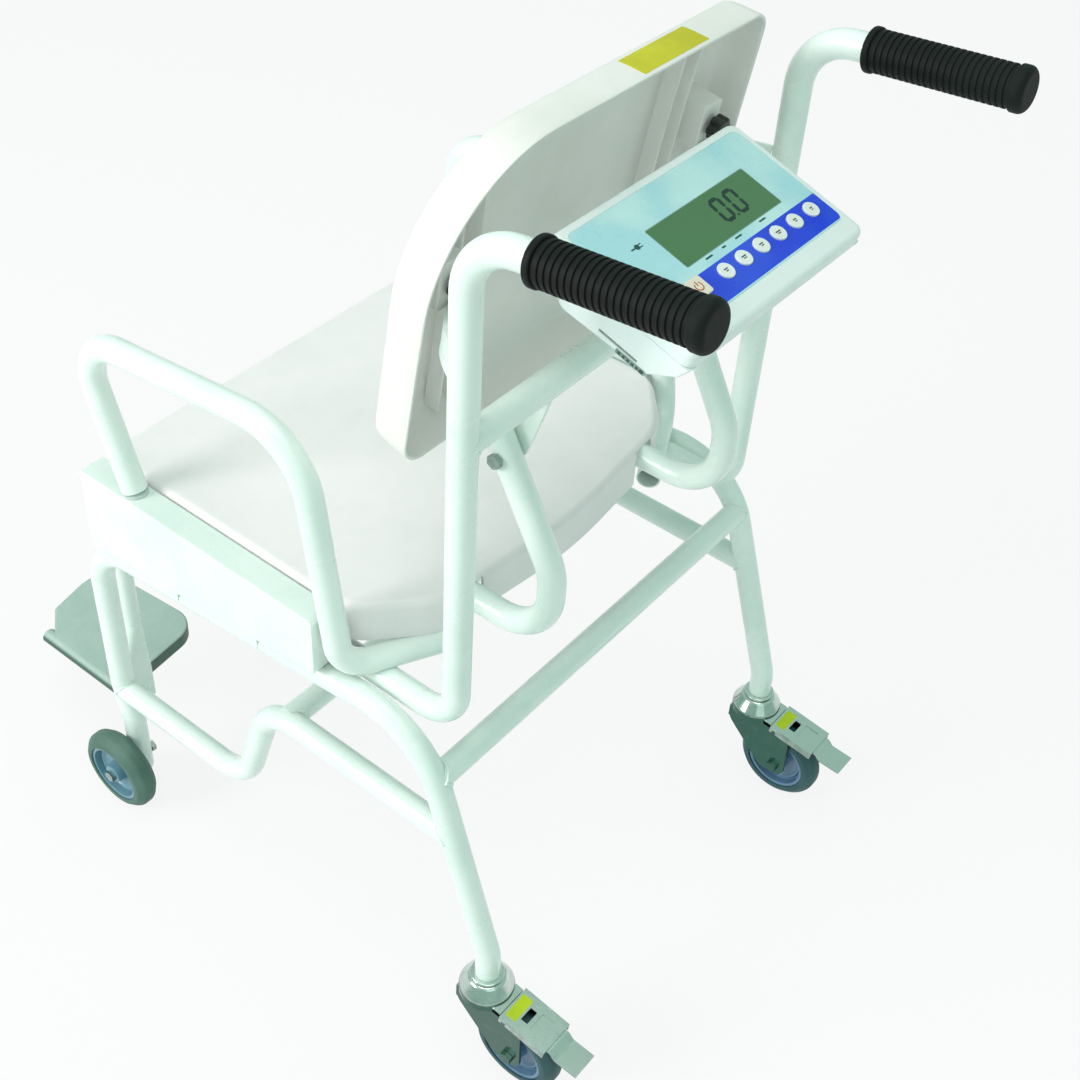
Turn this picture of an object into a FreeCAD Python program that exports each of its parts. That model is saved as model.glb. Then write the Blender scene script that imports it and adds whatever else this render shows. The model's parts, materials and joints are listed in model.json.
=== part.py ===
import FreeCAD, Part
import math
import os
import re
import Sketcher

# A wheeled chair scale: a person sits on it and is weighed.
# A fixed base of bent tube stands on two front wheels and two braked casters.
# Four bending-beam load cells on the base carry the weighed frame, which holds
# the seat, backrest, armrests, footrests, push handles and the indicator.
#
# Frame: +Z up, +Y towards the back, +X to the sitter's left, floor at Z = 0.
# "ahead" and "behind" are measured from the plane of the two uprights.

# Millimetres and degrees.
SIZES = {
    # Frame tube and the clearances that every joint shares.
    "tube_diameter": 25.4, "tube_wall": 1.5, "weld_gap": 0.25, "rest_gap": 0.3,
    "running_gap": 0.05, "bolt_gap": 0.2,
    # Reach of the footplates in front of the uprights.
    "toe_ahead": 661.0,
    # Side frames of the base.
    "base_half": 246.0, "leg_ahead": 460.0, "leg_foot_ahead": 450.5, "leg_foot_z": 34.0,
    "leg_jog_low_z": 116.0, "leg_jog_high_z": 166.0, "leg_jog_radius": 60.0,
    "rail_front_z": 379.0,
    "rail_front_radius": 60.0, "rail_rear_ahead": 16.0, "rail_rear_z": 427.0,
    "rail_rear_radius": 90.0, "rear_leg_behind": 72.0, "rear_leg_knee_z": 160.5,
    "rear_leg_knee_radius": 60.0, "rear_leg_end_z": 134.0,
    # Lower rails and the cross tubes of the base.
    "lower_rail_z": 158.0, "lower_rail_bend_ahead": 262.0, "lower_rail_top_ahead": 215.0,
    "lower_rail_top_z": 308.0, "lower_rail_radius": 55.0,
    "rear_cross_z": 372.0, "middle_cross_ahead": 190.0, "front_cross_ahead": 385.0,
    # Push handle tubes.
    "handle_side_gap": 28.0, "handle_run_z": 424.0, "handle_front_ahead": 426.0,
    "handle_low_radius": 38.0, "handle_top_z": 923.0, "handle_top_radius": 50.0,
    "handle_angle": 5.02, "upper_cross_z": 741.0,
    # Rubber grips.
    "grip_start": 60.0, "grip_length": 140.0, "grip_radius": 16.6, "grip_ring_radius": 17.8,
    "grip_flange_radius": 19.0, "grip_flange_width": 6.0, "grip_ring_pitch": 5.6,
    "grip_ring_width": 3.4, "grip_ring_count": 21, "grip_fit": 0.15, "grip_end_wall": 4.0,
    # Rectangular weighing beams, their load arms and the load cells.
    "beam_width": 25.0, "beam_height": 34.0, "beam_wall": 2.0, "beam_set_in": 4.0,
    "beam_corner_radius": 3.0, "front_beam_ahead": 410.0, "rear_beam_ahead": 150.0,
    "arm_thickness": 5.0, "arm_lap": 24.0, "arm_overhang": 8.0,
    "front_arm_reach": 34.0, "arm_margin": 9.0,
    "cell_length": 100.0, "cell_width": 18.0, "cell_height": 22.0, "cell_hole_radius": 7.0,
    "cell_hole_pitch": 16.0, "cell_block_length": 30.0, "cell_end_margin": 10.0,
    "button_radius": 6.0, "button_height": 5.7, "button_dome_radius": 9.0,
    # Sheet covers over the load cells.
    "housing_shift": 4.0, "housing_width": 27.0, "housing_wall": 2.0,
    "housing_front_ahead": 440.0, "housing_rear_ahead": 130.0, "housing_top_z": 497.0,
    "housing_skirt_gap": 4.0, "housing_edge_radius": 5.0, "arm_slot_gap": 4.0,
    # Seat shell.
    "seat_side_gap": 2.5, "seat_front_ahead": 441.0, "seat_sheet": 3.0, "seat_depth": 43.0,
    "seat_front_radius": 22.0, "seat_edge_radius": 8.0, "seat_shoulder_ahead": 118.0,
    "seat_shoulder_radius": 55.0, "seat_corner_inset": 66.0, "seat_corner_ahead": 60.0,
    "seat_corner_radius": 80.0, "seat_rear_ahead": 41.0, "seat_rear_radius": 500.0,
    "seat_side_skirt": 17.0, "seat_notch_inset": 30.0, "seat_slot_gap": 2.0,
    # Backrest support tubes under the seat.
    "support_half": 133.0, "support_front_ahead": 426.0, "support_rear_behind": 32.0,
    "support_low_radius": 55.0, "support_knee_z": 566.0, "support_knee_radius": 60.0,
    "support_top_ahead": 36.0, "support_top_z": 690.0, "lug_thickness": 4.0,
    "lug_bolt_z": 668.0, "lug_width": 26.0, "lug_bolt_radius": 4.0,
    # Armrest loops.
    "armrest_front_ahead": 375.0, "armrest_foot_z": 500.5,
    "armrest_peak_ahead": 426.0, "armrest_peak_z": 656.0, "armrest_front_radius": 47.0,
    "armrest_rear_ahead": 145.0, "armrest_rear_z": 687.0, "armrest_rear_radius": 65.0,
    "armrest_heel_ahead": 108.0, "armrest_heel_radius": 28.0, "armrest_end_inset": 68.0,
    "armrest_end_ahead": 57.0, "spigot_radius": 6.0, "grommet_radius": 12.9,
    # Backrest shell.
    "back_bottom_z": 716.0, "back_bottom_ahead": 64.5, "back_recline": 8.5,
    "back_height": 218.0, "back_side_set": 7.0,
    "back_depth": 45.0, "back_wall": 3.0, "back_bottom_radius": 25.0, "back_top_radius": 126.0,
    "back_edge_radius": 9.0, "back_rib_pitch": 26.0, "back_rib_thickness": 2.4,
    "back_rib_depth": 16.0, "knob_inset": 35.0, "knob_height": 120.0, "boss_half_width": 12.0,
    "boss_top": 134.0, "boss_bottom": 30.0, "boss_corner_radius": 3.0, "stud_radius": 4.0,
    "stud_depth": 18.0, "knob_radius": 15.0, "knob_thickness": 14.0, "knob_lobe_radius": 5.0,
    "knob_lobe_count": 6, "knob_edge_radius": 2.0, "bracket_plate": 4.0, "bracket_height": 36.0,
    "bracket_lap": 18.0,
    # Indicator: its face slopes down towards the rear.
    "face_behind": 64.5, "face_z": 855.5, "face_tilt": 18.0, "case_half_width": 121.0,
    "case_half_length": 72.0, "case_wall": 2.5, "bezel_height": 14.0, "case_radius": 10.0,
    "case_seam": 0.3, "case_edge_radius": 5.0, "opening_radius": 3.0, "case_front_depth": 50.6,
    "case_front_inset": 31.0, "case_rear_depth": 45.5, "case_rear_inset": 29.0,
    "case_lip_depth": 27.0, "case_lip_inset": 6.0, "case_belly_radius": 10.0,
    "overlay_margin": 8.0, "overlay_rear_margin": 19.0, "overlay_thickness": 0.8,
    "overlay_radius": 8.0, "slot_start": -5.0, "slot_length": 38.0, "slot_width": 2.6,
    "slot_depth": 41.0,
    "display_x": -13.0, "display_y": -10.5, "display_width": 130.0, "display_height": 42.0,
    "display_glass": 2.0, "display_lip": 3.0,
    "key_row_y": 31.0, "key_row_x": 28.0, "key_pitch": 24.4, "key_radius": 7.5,
    "key_height": 1.6, "key_edge_radius": 0.8, "key_stem_radius": 2.0, "key_stem_gap": 1.0,
    "key_flange": 1.5, "key_flange_thickness": 1.2, "key_gap": 0.3,
    "power_key_x": 62.0, "power_key_y": 29.0, "power_key_half": 9.0,
    "board_half_width": 100.0, "board_half_length": 50.0, "board_thickness": 1.6,
    "board_post_x": 92.0, "board_post_y": 45.0, "board_post_radius": 3.5,
    "board_post_height": 14.0, "post_plate": 4.0, "post_width": 60.0,
    "post_length": 100.0,
    # Footrests.
    "hanger_set_in": 12.0, "hanger_ahead": 482.0, "hanger_z": 443.0, "hanger_radius": 28.0,
    "hanger_diameter": 19.0,
    "hanger_flat_start_z": 215.0, "hanger_flat_z": 140.0, "hanger_flat_width": 38.0,
    "hanger_flat_thickness": 6.0, "hanger_end_z": 97.0, "hinge_offset": 20.0, "hinge_z": 109.5,
    "hinge_pin_radius": 4.0, "plate_thickness": 17.0, "plate_gap": 0.8,
    "plate_edge_radius": 2.5, "plate_heel_width": 128.0, "plate_toe_width": 114.0,
    "plate_bend_width": 78.0, "plate_cut_width": 29.0, "plate_cut_front_ahead": 650.5,
    "plate_cut_ahead": 615.0, "plate_heel_set": 13.0, "plate_inner_ahead": 506.0,
    "barrel_front_ahead": 627.0, "plate_rib_depth": 12.0, "plate_web": 4.0,
    "plate_corner_radius": 14.0, "plate_heel_radius": 34.0, "plate_rib_ahead": 612.0, "plate_rib_pitch": 55.0,
    "hinge_pin_length": 120.0, "flat_shift": 17.0, "section_ratio": 0.98,
    # Front wheels.
    "wheel_radius": 50.0, "front_wheel_width": 28.0, "hub_radius": 36.0, "wheel_side_gap": 1.5,
    "axle_radius": 4.0, "tyre_shoulder": 8.0, "hub_web": 6.0, "hub_boss_radius": 11.0,
    "hub_ring_radius": 26.0, "hub_ring_depth": 2.0, "hub_rim": 4.0, "bolt_head_radius": 7.0,
    "bolt_head_height": 5.0,
    # Casters.
    "caster_trail": 45.0, "caster_wheel_width": 28.0, "fork_plate": 3.0, "fork_side_gap": 1.6,
    "head_radius": 28.0, "head_top_z": 129.5, "head_bottom_z": 106.0,
    "king_pin_radius": 6.0, "collar_radius": 17.0, "collar_height": 4.0,
    "fork_tip_radius": 13.0, "pedal_sheet": 2.0, "pedal_start": 33.0, "pedal_length": 56.0,
    "pedal_z": 112.0, "pedal_slope": 7.0, "pedal_pivot": 38.0, "pedal_pivot_z": 104.5,
    "pedal_pin_radius": 2.5, "pedal_flange": 9.0, "pedal_corner": 2.5,
    "pedal_window_start": 17.0, "pedal_window_length": 8.0, "pedal_window_half": 8.0,
    "pedal_dish_start": 30.0, "pedal_dish_length": 17.0, "pedal_dish_half": 11.0,
    "pedal_dish_depth": 0.8, "pedal_tab_start": 76.0, "pedal_tab_step": 92.0,
    "pedal_riser": 6.0, "pedal_tab_end": 124.0, "pedal_tab_z": 94.0, "pedal_tab_width": 30.0,
    "crown_thickness": 3.0, "crown_skirt": 18.0, "cheek_top_fall": 3.2,
}

# Lengths that follow from the sizes above.
DERIVED = {
    "tube_radius": "tube_diameter / 2",
    "handle_half": "base_half - handle_side_gap",
    "housing_half": "base_half + housing_shift",
    "armrest_half": "housing_half",
    "armrest_end_half": "handle_half - armrest_end_inset",
    "seat_half": "housing_half - housing_width / 2 - seat_side_gap",
    "seat_corner_half": "seat_half - seat_corner_inset",
    "beam_half": "handle_half - beam_set_in",
    "arm_inner_half": "beam_half - arm_lap",
    "arm_outer_half": "housing_half + arm_overhang",
    "back_half": "handle_half - back_side_set",
    "knob_half": "back_half - knob_inset",
    "bracket_inner_half": "knob_half - bracket_lap",
    "hanger_half": "handle_half - hanger_set_in",
    "hinge_x": "hanger_half + hinge_offset",
    "plate_inner_x": "hinge_x - plate_heel_width",
    "plate_toe_x": "hinge_x - plate_toe_width",
    "plate_bend_x": "hinge_x - plate_bend_width",
    "plate_cut_x": "hinge_x - plate_cut_width",
    "handle_end_behind": "(grip_start + grip_length - grip_end_wall - rest_gap)"
                         " * cos(handle_angle)",
    "handle_rise": "handle_end_behind * tan(handle_angle)",
    "grip_reach": "(grip_start + grip_length - grip_flange_width) * cos(handle_angle)"
                  " + (grip_flange_radius - grip_flange_width) * sin(handle_angle)"
                  " + grip_flange_width",
    "upright_y": "(toe_ahead - grip_reach) / 2",
    "beam_bottom_z": "handle_run_z + tube_radius + rest_gap",
    "beam_top_z": "beam_bottom_z + beam_height",
    "support_run_z": "beam_top_z + rest_gap + tube_radius",
    "seat_under_z": "support_run_z + tube_radius + rest_gap",
    "seat_top_z": "seat_under_z + seat_sheet",
    "rail_slope": "(rail_rear_z - rail_front_z) / (leg_ahead - rail_rear_ahead)",
    "rear_leg_slope": "(rail_rear_ahead + rear_leg_behind) / (rail_rear_z - rear_leg_knee_z)",
    "rear_cross_ahead": "rail_rear_ahead - rear_leg_slope * (rail_rear_z - rear_cross_z)",
    "front_cross_z": "rail_front_z + rail_slope * (leg_ahead - front_cross_ahead)",
    "pedal_half": "caster_wheel_width / 2 + fork_side_gap + fork_plate + rest_gap + pedal_sheet",
    "front_wheel_x": "base_half + tube_radius + wheel_side_gap + front_wheel_width / 2",
    "cell_top_z": "beam_top_z - rest_gap - button_height",
    "cell_bottom_z": "cell_top_z - cell_height",
    "arm_top_z": "beam_top_z + arm_thickness",
    "barrel_radius": "plate_thickness / 2",
    "hanger_rear_ahead": "hanger_ahead - hanger_diameter / 2",
    "seat_skirt_z": "seat_top_z - seat_depth",
    "armrest_heel_z": "seat_skirt_z - rest_gap - tube_radius",
    "plate_rear_ahead": "hanger_rear_ahead + hanger_flat_thickness + plate_gap",
    "board_z": "0 - case_wall - board_post_height - rest_gap - board_thickness",
}

doc = FreeCAD.newDocument("chair_scale")
sheet = doc.addObject("Spreadsheet::Sheet", "Sizes")
for row, (alias, value) in enumerate(SIZES.items(), start=1):
    sheet.set("A%d" % row, alias)
    sheet.set("B%d" % row, str(value))
    sheet.setAlias("B%d" % row, alias)
doc.recompute()

Vector = FreeCAD.Vector
X_AXIS = Vector(1, 0, 0)
Y_AXIS = Vector(0, 1, 0)
Z_AXIS = Vector(0, 0, 1)
ORIGIN = -1


def formula(text):
    """Spell a formula of size names the way the document's expressions want it."""
    def spelled(match):
        word = match.group()
        if word in DERIVED:
            return "(" + formula(DERIVED[word]) + ")"
        return "Sizes." + word if word in SIZES else word
    return re.sub(r"[a-z][a-z_]*", spelled, str(text))


def number(text):
    return float(sheet.evalExpression(formula(text)))


def bind(thing, **formulas):
    for name, text in formulas.items():
        thing.setExpression(name.replace("__", "."), formula(text))


def ahead(text):
    return "upright_y - (%s)" % text


def behind(text):
    return "upright_y + (%s)" % text


def place(thing, x="0", y="0", z="0", axis=None, angle="0"):
    if axis is not None:
        thing.Placement = FreeCAD.Placement(Vector(), FreeCAD.Rotation(axis, number(angle)))
        bind(thing, Placement__Rotation__Angle=angle)
    bind(thing, Placement__Base__x=x, Placement__Base__y=y, Placement__Base__z=z)
    return thing


# --- Sketches -----------------------------------------------------------------

def new_body(name):
    return doc.addObject("PartDesign::Body", name)


def new_sketch(body, plane, offset="0"):
    sketch = body.newObject("Sketcher::SketchObject", body.Name + "_sketch")
    features = body.Origin.OriginFeatures
    support = [feature for feature in features if feature.Role == plane + "_Plane"][0]
    sketch.AttachmentSupport = [(support, "")]
    sketch.MapMode = "FlatFace"
    bind(sketch, AttachmentOffset__Base__z=offset)
    return sketch


def pin_point(sketch, geometry, position, corner):
    """Hold a point at its two formulas, measured from the sketch's origin."""
    for kind, text in zip(("DistanceX", "DistanceY"), corner):
        limit = Sketcher.Constraint(kind, ORIGIN, 1, geometry, position, number(text))
        index = sketch.addConstraint(limit)
        sketch.setExpression("Constraints[%d]" % index, formula(text))


def outline(sketch, corners, closed=True):
    """Draw straight runs between corners (u, v, radius), each rounded by its arc."""
    points = [Vector(number(corner[0]), number(corner[1]), 0) for corner in corners]
    count = len(corners)
    starts = list(points)
    ends = list(points)
    arcs = {}
    for index, corner in enumerate(corners):
        inner = closed or 0 < index < count - 1
        if not inner or len(corner) < 3:
            continue
        before = (points[index - 1] - points[index]).normalize()
        after = (points[(index + 1) % count] - points[index]).normalize()
        radius = number(corner[2])
        half_angle = before.getAngle(after) / 2
        reach = radius / math.tan(half_angle)
        middle = (before + after).normalize()
        centre = points[index] + middle * (radius / math.sin(half_angle))
        ends[index] = points[index] + before * reach
        starts[index] = points[index] + after * reach
        left_turn = before.cross(after).z < 0
        arcs[index] = (centre, radius, left_turn)
    lines = []
    for index in range(count if closed else count - 1):
        line = Part.LineSegment(starts[index], ends[(index + 1) % count])
        lines.append(sketch.addGeometry(line, False))
    for index, corner in enumerate(corners):
        if index in arcs:
            arrive, leave = lines[index - 1], lines[index]
            centre, radius, left_turn = arcs[index]
            first, last = (ends[index], starts[index]) if left_turn else (starts[index], ends[index])
            begin = math.atan2(first.y - centre.y, first.x - centre.x)
            finish = math.atan2(last.y - centre.y, last.x - centre.x)
            circle = Part.Circle(centre, Z_AXIS, radius)
            arc = sketch.addGeometry(Part.ArcOfCircle(circle, begin, finish), False)
            near, far = (1, 2) if left_turn else (2, 1)
            sketch.addConstraint(Sketcher.Constraint("Tangent", arrive, 2, arc, near))
            sketch.addConstraint(Sketcher.Constraint("Tangent", arc, far, leave, 1))
            limit = sketch.addConstraint(Sketcher.Constraint("Radius", arc, radius))
            sketch.setExpression("Constraints[%d]" % limit, formula(corner[2]))
            tip = sketch.addGeometry(Part.Point(points[index]), True)
            sketch.addConstraint(Sketcher.Constraint("PointOnObject", tip, 1, arrive))
            sketch.addConstraint(Sketcher.Constraint("PointOnObject", tip, 1, leave))
            pin_point(sketch, tip, 1, corner)
        elif not closed and index == count - 1:
            pin_point(sketch, lines[-1], 2, corner)
        else:
            if closed or index > 0:
                join = Sketcher.Constraint("Coincident", lines[index - 1], 2, lines[index], 1)
                sketch.addConstraint(join)
            pin_point(sketch, lines[index], 1, corner)
    return sketch


def circle(sketch, u, v, radius):
    centre = Vector(number(u), number(v), 0)
    geometry = sketch.addGeometry(Part.Circle(centre, Z_AXIS, number(radius)), False)
    limit = sketch.addConstraint(Sketcher.Constraint("Radius", geometry, number(radius)))
    sketch.setExpression("Constraints[%d]" % limit, formula(radius))
    pin_point(sketch, geometry, 3, (u, v))
    return sketch


def rectangle(sketch, left, right, low, high, radius=None):
    corners = [(left, low), (right, low), (right, high), (left, high)]
    if radius is not None:
        corners = [corner + (radius,) for corner in corners]
    return outline(sketch, corners)


# --- Body features -------------------------------------------------------------

def extrude(body, sketch, length, kind="Pad", symmetric=False, backwards=False):
    feature = body.newObject("PartDesign::" + kind, body.Name + "_" + kind.lower())
    feature.Profile = sketch
    feature.SideType = "Symmetric" if symmetric else "One side"
    feature.Reversed = backwards
    bind(feature, Length=length)
    doc.recompute()
    return feature


def turn(body, sketch, axis="V_Axis", kind="Revolution"):
    feature = body.newObject("PartDesign::" + kind, body.Name + "_" + kind.lower())
    feature.Profile = sketch
    feature.ReferenceAxis = (sketch, [axis])
    feature.Angle = 360
    doc.recompute()
    return feature


def face_facing(feature, direction):
    """Name of the flat face that lies furthest along a direction."""
    best = None
    for index, face in enumerate(feature.Shape.Faces, start=1):
        normal = face.normalAt(0, 0)
        if face.Surface.TypeId == "Part::GeomPlane" and normal.dot(direction) > 0.99:
            height = face.CenterOfMass.dot(direction)
            if best is None or height > best[0]:
                best = (height, "Face%d" % index)
    return best[1]


def fillet(body, feature, radius, direction):
    """Round the edges of the face that lies furthest along a direction."""
    rounding = body.newObject("PartDesign::Fillet", body.Name + "_fillet")
    rounding.Base = (feature, [face_facing(feature, direction)])
    bind(rounding, Radius=radius)
    doc.recompute()
    return rounding


def shell(body, feature, wall, direction):
    """Hollow the body inwards, open at the face that lies furthest along a direction."""
    hollow = body.newObject("PartDesign::Thickness", body.Name + "_shell")
    hollow.Base = (feature, [face_facing(feature, direction)])
    hollow.Reversed = True
    hollow.Join = "Intersection"
    bind(hollow, Value=wall)
    doc.recompute()
    return hollow


def row_of(body, feature, sketch, axis, length, count):
    pattern = body.newObject("PartDesign::LinearPattern", body.Name + "_row")
    pattern.Originals = [feature]
    pattern.Direction = (sketch, [axis])
    bind(pattern, Length=length, Occurrences=count)
    body.Tip = pattern
    doc.recompute()
    return pattern


def ring_of(body, feature, sketch, count):
    pattern = body.newObject("PartDesign::PolarPattern", body.Name + "_ring")
    pattern.Originals = [feature]
    pattern.Axis = (sketch, ["N_Axis"])
    pattern.Angle = 360
    bind(pattern, Occurrences=count)
    body.Tip = pattern
    doc.recompute()
    return pattern


def pipe(name, corners, offset, outer="tube_radius", wall="tube_wall"):
    """A round tube bent in a plane X = offset, along corners (y, z, bend radius)."""
    body = new_body(name)
    spine = outline(new_sketch(body, "YZ", offset), corners, closed=False)
    doc.recompute()
    section = body.newObject("Sketcher::SketchObject", name + "_section")
    section.AttachmentSupport = [(spine, "Edge1")]
    section.MapMode = "NormalToEdge"
    circle(section, "0", "0", outer)
    if wall is not None:
        circle(section, "0", "0", "(%s) - (%s)" % (outer, wall))
    sweep = body.newObject("PartDesign::AdditivePipe", name + "_pipe")
    sweep.Profile = section
    sweep.Spine = (spine, [])
    doc.recompute()
    return body


def strip(name, corners, offset, width, thickness):
    """Flat bar bent in a plane X = offset, along corners (y, z, bend radius)."""
    body = new_body(name)
    spine = outline(new_sketch(body, "YZ", offset), corners, closed=False)
    doc.recompute()
    section = body.newObject("Sketcher::SketchObject", name + "_section")
    section.AttachmentSupport = [(spine, "Edge1")]
    section.MapMode = "NormalToEdge"
    doc.recompute()
    flat_along_u = abs(section.Placement.Rotation.multVec(X_AXIS).x) > 0.5
    sides = (width, thickness) if flat_along_u else (thickness, width)
    centred(section, sides[0] + " / 2", sides[1] + " / 2", None)
    sweep = body.newObject("PartDesign::AdditivePipe", name + "_strip")
    sweep.Profile = section
    sweep.Spine = (spine, [])
    doc.recompute()
    return body


# --- Primitives and booleans ----------------------------------------------------

def box(name, low, size):
    block = doc.addObject("Part::Box", name)
    bind(block, Length=size[0], Width=size[1], Height=size[2])
    return place(block, *low)


def cylinder(name, radius, height, base, direction=Z_AXIS):
    rod = doc.addObject("Part::Cylinder", name)
    bind(rod, Radius=radius, Height=height)
    rod.Placement = FreeCAD.Placement(Vector(), FreeCAD.Rotation(Z_AXIS, direction))
    bind(rod, Placement__Base__x=base[0], Placement__Base__y=base[1], Placement__Base__z=base[2])
    return rod


def hexagon(name, radius, height, base, direction=Z_AXIS):
    head = doc.addObject("Part::Prism", name)
    head.Polygon = 6
    bind(head, Circumradius=radius, Height=height)
    head.Placement = FreeCAD.Placement(Vector(), FreeCAD.Rotation(Z_AXIS, direction))
    bind(head, Placement__Base__x=base[0], Placement__Base__y=base[1], Placement__Base__z=base[2])
    return head


def cut(name, base, *tools):
    result = base
    for index, tool in enumerate(tools):
        last = index == len(tools) - 1
        step = doc.addObject("Part::Cut", name if last else name + "_cut")
        step.Base = result
        step.Tool = tool
        result = step
    doc.recompute()
    return result


def fuse(name, *parts):
    joined = doc.addObject("Part::MultiFuse", name)
    joined.Shapes = list(parts)
    doc.recompute()
    return joined


def group(name, *parts):
    """Separate solids kept under one name."""
    compound = doc.addObject("Part::Compound", name)
    compound.Links = list(parts)
    doc.recompute()
    return compound


def mirrored(name, source):
    """The same piece on the other side of the chair."""
    copy = doc.addObject("Part::Mirroring", name)
    copy.Source = source
    copy.Normal = X_AXIS
    doc.recompute()
    return copy


NODES = {}


def node(name, thing):
    thing.Label = name
    NODES[name] = thing
    return thing


def pair(name, thing):
    node(name + "_left", thing)
    return node(name + "_right", mirrored(name + "_mirror", thing))


# --- Base ------------------------------------------------------------------------

def base_path():
    return [
        (ahead("leg_foot_ahead"), "leg_foot_z"),
        (ahead("leg_foot_ahead"), "leg_jog_low_z", "leg_jog_radius"),
        (ahead("leg_ahead"), "leg_jog_high_z", "leg_jog_radius"),
        (ahead("leg_ahead"), "rail_front_z", "rail_front_radius"),
        (ahead("rail_rear_ahead"), "rail_rear_z", "rail_rear_radius"),
        (behind("rear_leg_behind"), "rear_leg_knee_z", "rear_leg_knee_radius"),
        (behind("rear_leg_behind"), "rear_leg_end_z"),
    ]


def handle_path():
    return [
        (ahead("handle_front_ahead"), "handle_run_z"),
        ("upright_y", "handle_run_z", "handle_low_radius"),
        ("upright_y", "handle_top_z", "handle_top_radius"),
        (behind("handle_end_behind"), "handle_top_z + handle_rise"),
    ]


def keepout(name, path, offset):
    """A solid bar round a tube's path: what is welded to that tube is saddled by it."""
    return pipe(name, path, offset, outer="tube_radius + weld_gap", wall=None)


def make_base():
    tube = pipe("base_tube", base_path(), "base_half")
    foot = doc.addObject("Part::Sphere", "base_foot")
    bind(foot, Radius="tube_radius")
    place(foot, "base_half", ahead("leg_foot_ahead"), "leg_foot_z")
    whole = fuse("base_side", tube, foot)
    axle_hole = cylinder("base_axle_hole", "axle_radius + bolt_gap", "2 * tube_diameter",
                         ("base_half - tube_diameter", ahead("leg_foot_ahead"), "wheel_radius"),
                         X_AXIS)
    pair("base_tube", cut("base_side_drilled", whole, axle_hole))

    left_saddle = keepout("base_saddle", base_path(), "base_half")
    right_saddle = mirrored("base_saddle_mirror", left_saddle)
    lower_path = [
        (ahead("leg_ahead"), "lower_rail_z"),
        (ahead("lower_rail_bend_ahead"), "lower_rail_z", "lower_rail_radius"),
        (ahead("lower_rail_top_ahead"), "lower_rail_top_z", "lower_rail_radius"),
        (ahead("rail_rear_ahead - rear_leg_slope * (rail_rear_z - lower_rail_top_z)"),
         "lower_rail_top_z"),
    ]
    lower = pipe("lower_rail", lower_path, "base_half")
    pair("lower_rail", cut("lower_rail_saddled", lower, left_saddle))

    lower_saddle = keepout("lower_saddle", lower_path, "base_half")
    lower_saddle_mirror = mirrored("lower_saddle_mirror", lower_saddle)
    places = {
        "rear_cross_tube": ("rear_cross_ahead", "rear_cross_z", left_saddle, right_saddle),
        "front_cross_tube": ("front_cross_ahead", "front_cross_z", left_saddle, right_saddle),
        "middle_cross_tube": ("middle_cross_ahead", "lower_rail_top_z",
                              lower_saddle, lower_saddle_mirror),
    }
    for name, (distance, height, left, right) in places.items():
        tube = cross_tube(name, "base_half", ahead(distance), height)
        node(name, cut(name + "_saddled", tube, left, right))


def cross_tube(name, half, y, z):
    start = ("0 - " + half, y, z)
    outside = cylinder(name + "_outside", "tube_radius", "2 * " + half, start, X_AXIS)
    inside = cylinder(name + "_inside", "tube_radius - tube_wall", "2 * " + half, start, X_AXIS)
    return cut(name + "_tube", outside, inside)


# --- Load cells ---------------------------------------------------------------------

def cell_places():
    """Fixed end and free end of the two cells on one side, ahead of the uprights."""
    return {
        "front": ("front_beam_ahead - cell_length + cell_end_margin", "front_beam_ahead"),
        "rear": ("rear_beam_ahead + cell_length - cell_end_margin", "rear_beam_ahead"),
    }


def make_load_cells():
    cells, blocks, buttons = [], [], []
    saddle = doc.getObject("base_saddle")
    for end, (fixed, free) in cell_places().items():
        front = end == "front"
        low_y = ahead("front_beam_ahead + cell_end_margin" if front else fixed)
        cell = box("cell_" + end, ("housing_half - cell_width / 2", low_y, "cell_bottom_z"),
                   ("cell_width", "cell_length", "cell_height"))
        holes = []
        for side in (-1, 1):
            middle = "%s + cell_length / 2 + %d * cell_hole_pitch / 2" % (low_y, side)
            holes.append(cylinder("cell_hole_%s_%s" % (end, "front" if side < 0 else "back"),
                                  "cell_hole_radius", "2 * cell_width",
                                  ("base_half - cell_width", middle,
                                   "cell_bottom_z + cell_height / 2"), X_AXIS))
        cells.append(cut("cell_%s_bored" % end, cell, *holes))
        block_y = ahead(fixed) if not front else ahead(fixed + " + cell_block_length")
        rail_z = "(rail_front_z + rail_slope * (leg_ahead - (%s)))" % fixed
        block = box("block_" + end,
                    ("housing_half - cell_width / 2", block_y, rail_z),
                    ("cell_width", "cell_block_length", "cell_bottom_z - " + rail_z))
        blocks.append(cut("block_%s_saddled" % end, block, saddle))
        buttons.append(load_button(end, ahead(free)))
    for name, solids in (("load_cells", cells + buttons), ("load_cell_blocks", blocks)):
        copies = [mirrored("%s_mirror_%d" % (name, index), solid)
                  for index, solid in enumerate(solids)]
        node(name, group(name + "_set", *(solids + copies)))


def load_button(end, y):
    """A short stud with a domed top, on which a load arm rests."""
    stud = cylinder("button_stud_" + end, "button_radius", "button_height",
                    ("housing_half", y, "cell_top_z"))
    dome = doc.addObject("Part::Sphere", "button_dome_" + end)
    bind(dome, Radius="button_dome_radius")
    place(dome, "housing_half", y, "cell_top_z + button_height - button_dome_radius")
    button = doc.addObject("Part::Common", "button_" + end)
    button.Base = stud
    button.Tool = dome
    doc.recompute()
    return button


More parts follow.
